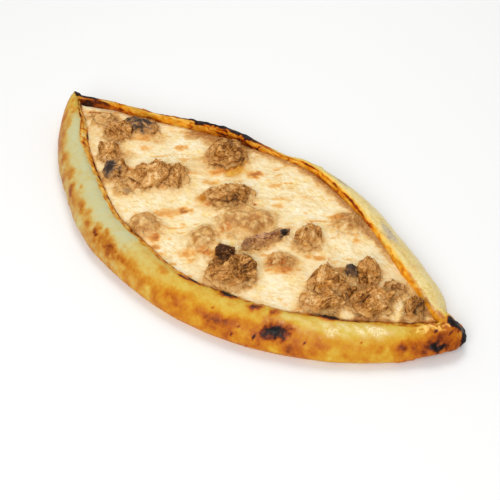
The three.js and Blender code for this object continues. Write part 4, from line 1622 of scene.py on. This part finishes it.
# painted shade: the tone is darkened in the gaps between fibres and in pits
tone = plus(tone, times(stored(tree, "hollow"), 0.1), clamp=True)
brown = ramp(
    tone, (0.0, 244, 212, 158), (0.2, 228, 180, 116), (0.38, 206, 150, 84), (0.52, 182, 124, 58),
    (0.68, 144, 90, 34), (0.84, 98, 56, 18), (1.0, 58, 30, 10),
)
mauve = ramp(tone, (0.2, 206, 158, 132), (0.5, 158, 112, 90), (0.8, 84, 52, 38), (1.0, 44, 26, 20))
flesh = mixed(stored(tree, "mauve"), brown, mauve)
ocher = use(mottle, place, Size=5.0, Amount=4.0)
flesh = mixed(times(ocher, 1.0, clamp=True), flesh, colour(255, 232, 150), "MULTIPLY")
print("nodes for the flesh:", len(tree.nodes))

# %% [markdown]
# ## Cheese and char on the meat
# A thin film of cheese clings to the foot of each chunk and breaks up along the
# fibres. Corners that stood up into the heat are burnt, from brown at the edge
# of the burn to nearly black. Meat is barely glossy, so its specular is low.

# %% Finish of the meat
film = plus(stored(tree, "film"), times(fibre, 0.45), clamp=True)
coated = ramp(
    maths("SUBTRACT", film, times(fibre, 0.5)), (0.2, 200, 146, 80), (0.6, 214, 164, 96),
    (1.0, 224, 182, 118),
)
look = mixed(times(film, 0.9), flesh, coated)
char = stored(tree, "char")
burnt = ramp(char, (0.0, 160, 124, 92), (0.5, 104, 84, 68), (1.0, 36, 30, 28))
look = mixed(times(char, 1.6, clamp=True), look, burnt)
dress(meats.values(), meat_look, {
    "Base Color": look,
    "Roughness": 0.55,
    "Specular IOR Level": 0.12,
    "Normal": use(grain, grown, Size=0.8, Depth=0.35),
})

# %% [markdown]
# ## Floor
# A pale, matt floor is enough: it catches the soft shadow that makes the bread
# stand on something. It is stage, not part of the bread.

# %% Floor
FLOOR_REACH = 3.0   # metres from the middle to each edge
corners = [(x * FLOOR_REACH, y * FLOOR_REACH, 0) for x, y in ((-1, -1), (1, -1), (1, 1), (-1, 1))]
floor_mesh = bpy.data.meshes.new("floor")
floor_mesh.from_pydata(corners, [], [(0, 1, 2, 3)])
floor = bpy.data.objects.new("floor", floor_mesh)
bpy.context.scene.collection.objects.link(floor)
floor_look = bpy.data.materials.new("plain_floor")
floor_look.use_nodes = True
dress([floor], floor_look, {"Base Color": colour(246, 246, 245), "Roughness": 0.9})

# %% [markdown]
# ## Light
# A studio for food is bright all round: an even white surround gives most of
# the light. One broad lamp hangs over the far side, so that the rim's crown
# shines, and a wide one in front lifts the near faces. Colours go to the screen
# unchanged, because a filmic curve would grey the cream and the gold.

# %% Lights
LAMPS = {  # place, width in metres, power in watts
    "overhead": ((-0.25, 0.45, 1.1), 0.7, 5),
    "front": ((0.35, -0.95, 0.8), 0.9, 9),
}
SURROUND = 0.5
for name, (place, width, power) in LAMPS.items():
    light = bpy.data.lights.new(name, "AREA")
    light.shape = "DISK"
    light.size = width
    light.energy = power
    holder = bpy.data.objects.new(name, light)
    holder.location = place
    holder.rotation_euler = (-Vector(place)).to_track_quat("-Z", "Y").to_euler()
    bpy.context.scene.collection.objects.link(holder)
surround = bpy.data.worlds.new("surround")
surround.use_nodes = True
fill(surround.node_tree.nodes["Background"], {"Color": (1, 1, 1, 1), "Strength": SURROUND})
bpy.context.scene.world = surround
bpy.context.scene.view_settings.view_transform = "Standard"
print("lamps:", list(LAMPS))

# %% [markdown]
# ## Camera
# The camera looks down on the bread at a slant, from between the near side and
# the nose. It is placed by its direction and its distance from a point on the
# bread, which is easier to judge than three coordinates.

# %% Camera
AZIMUTH, ELEVATION = math.radians(41.11), math.radians(46)
DISTANCE = 0.66
LENS = 70.19
TARGET = Vector((0.024, -0.0008, 0))
towards = Vector((
    math.sin(AZIMUTH) * math.cos(ELEVATION),
    -math.cos(AZIMUTH) * math.cos(ELEVATION),
    math.sin(ELEVATION),
))
camera = bpy.data.objects.new("camera", bpy.data.cameras.new("camera"))
camera.data.lens = LENS
camera.location = TARGET + towards * DISTANCE
camera.rotation_euler = (-towards).to_track_quat("-Z", "Y").to_euler()
bpy.context.scene.collection.objects.link(camera)
bpy.context.scene.camera = camera
print("camera at", tuple(round(c, 3) for c in camera.location))
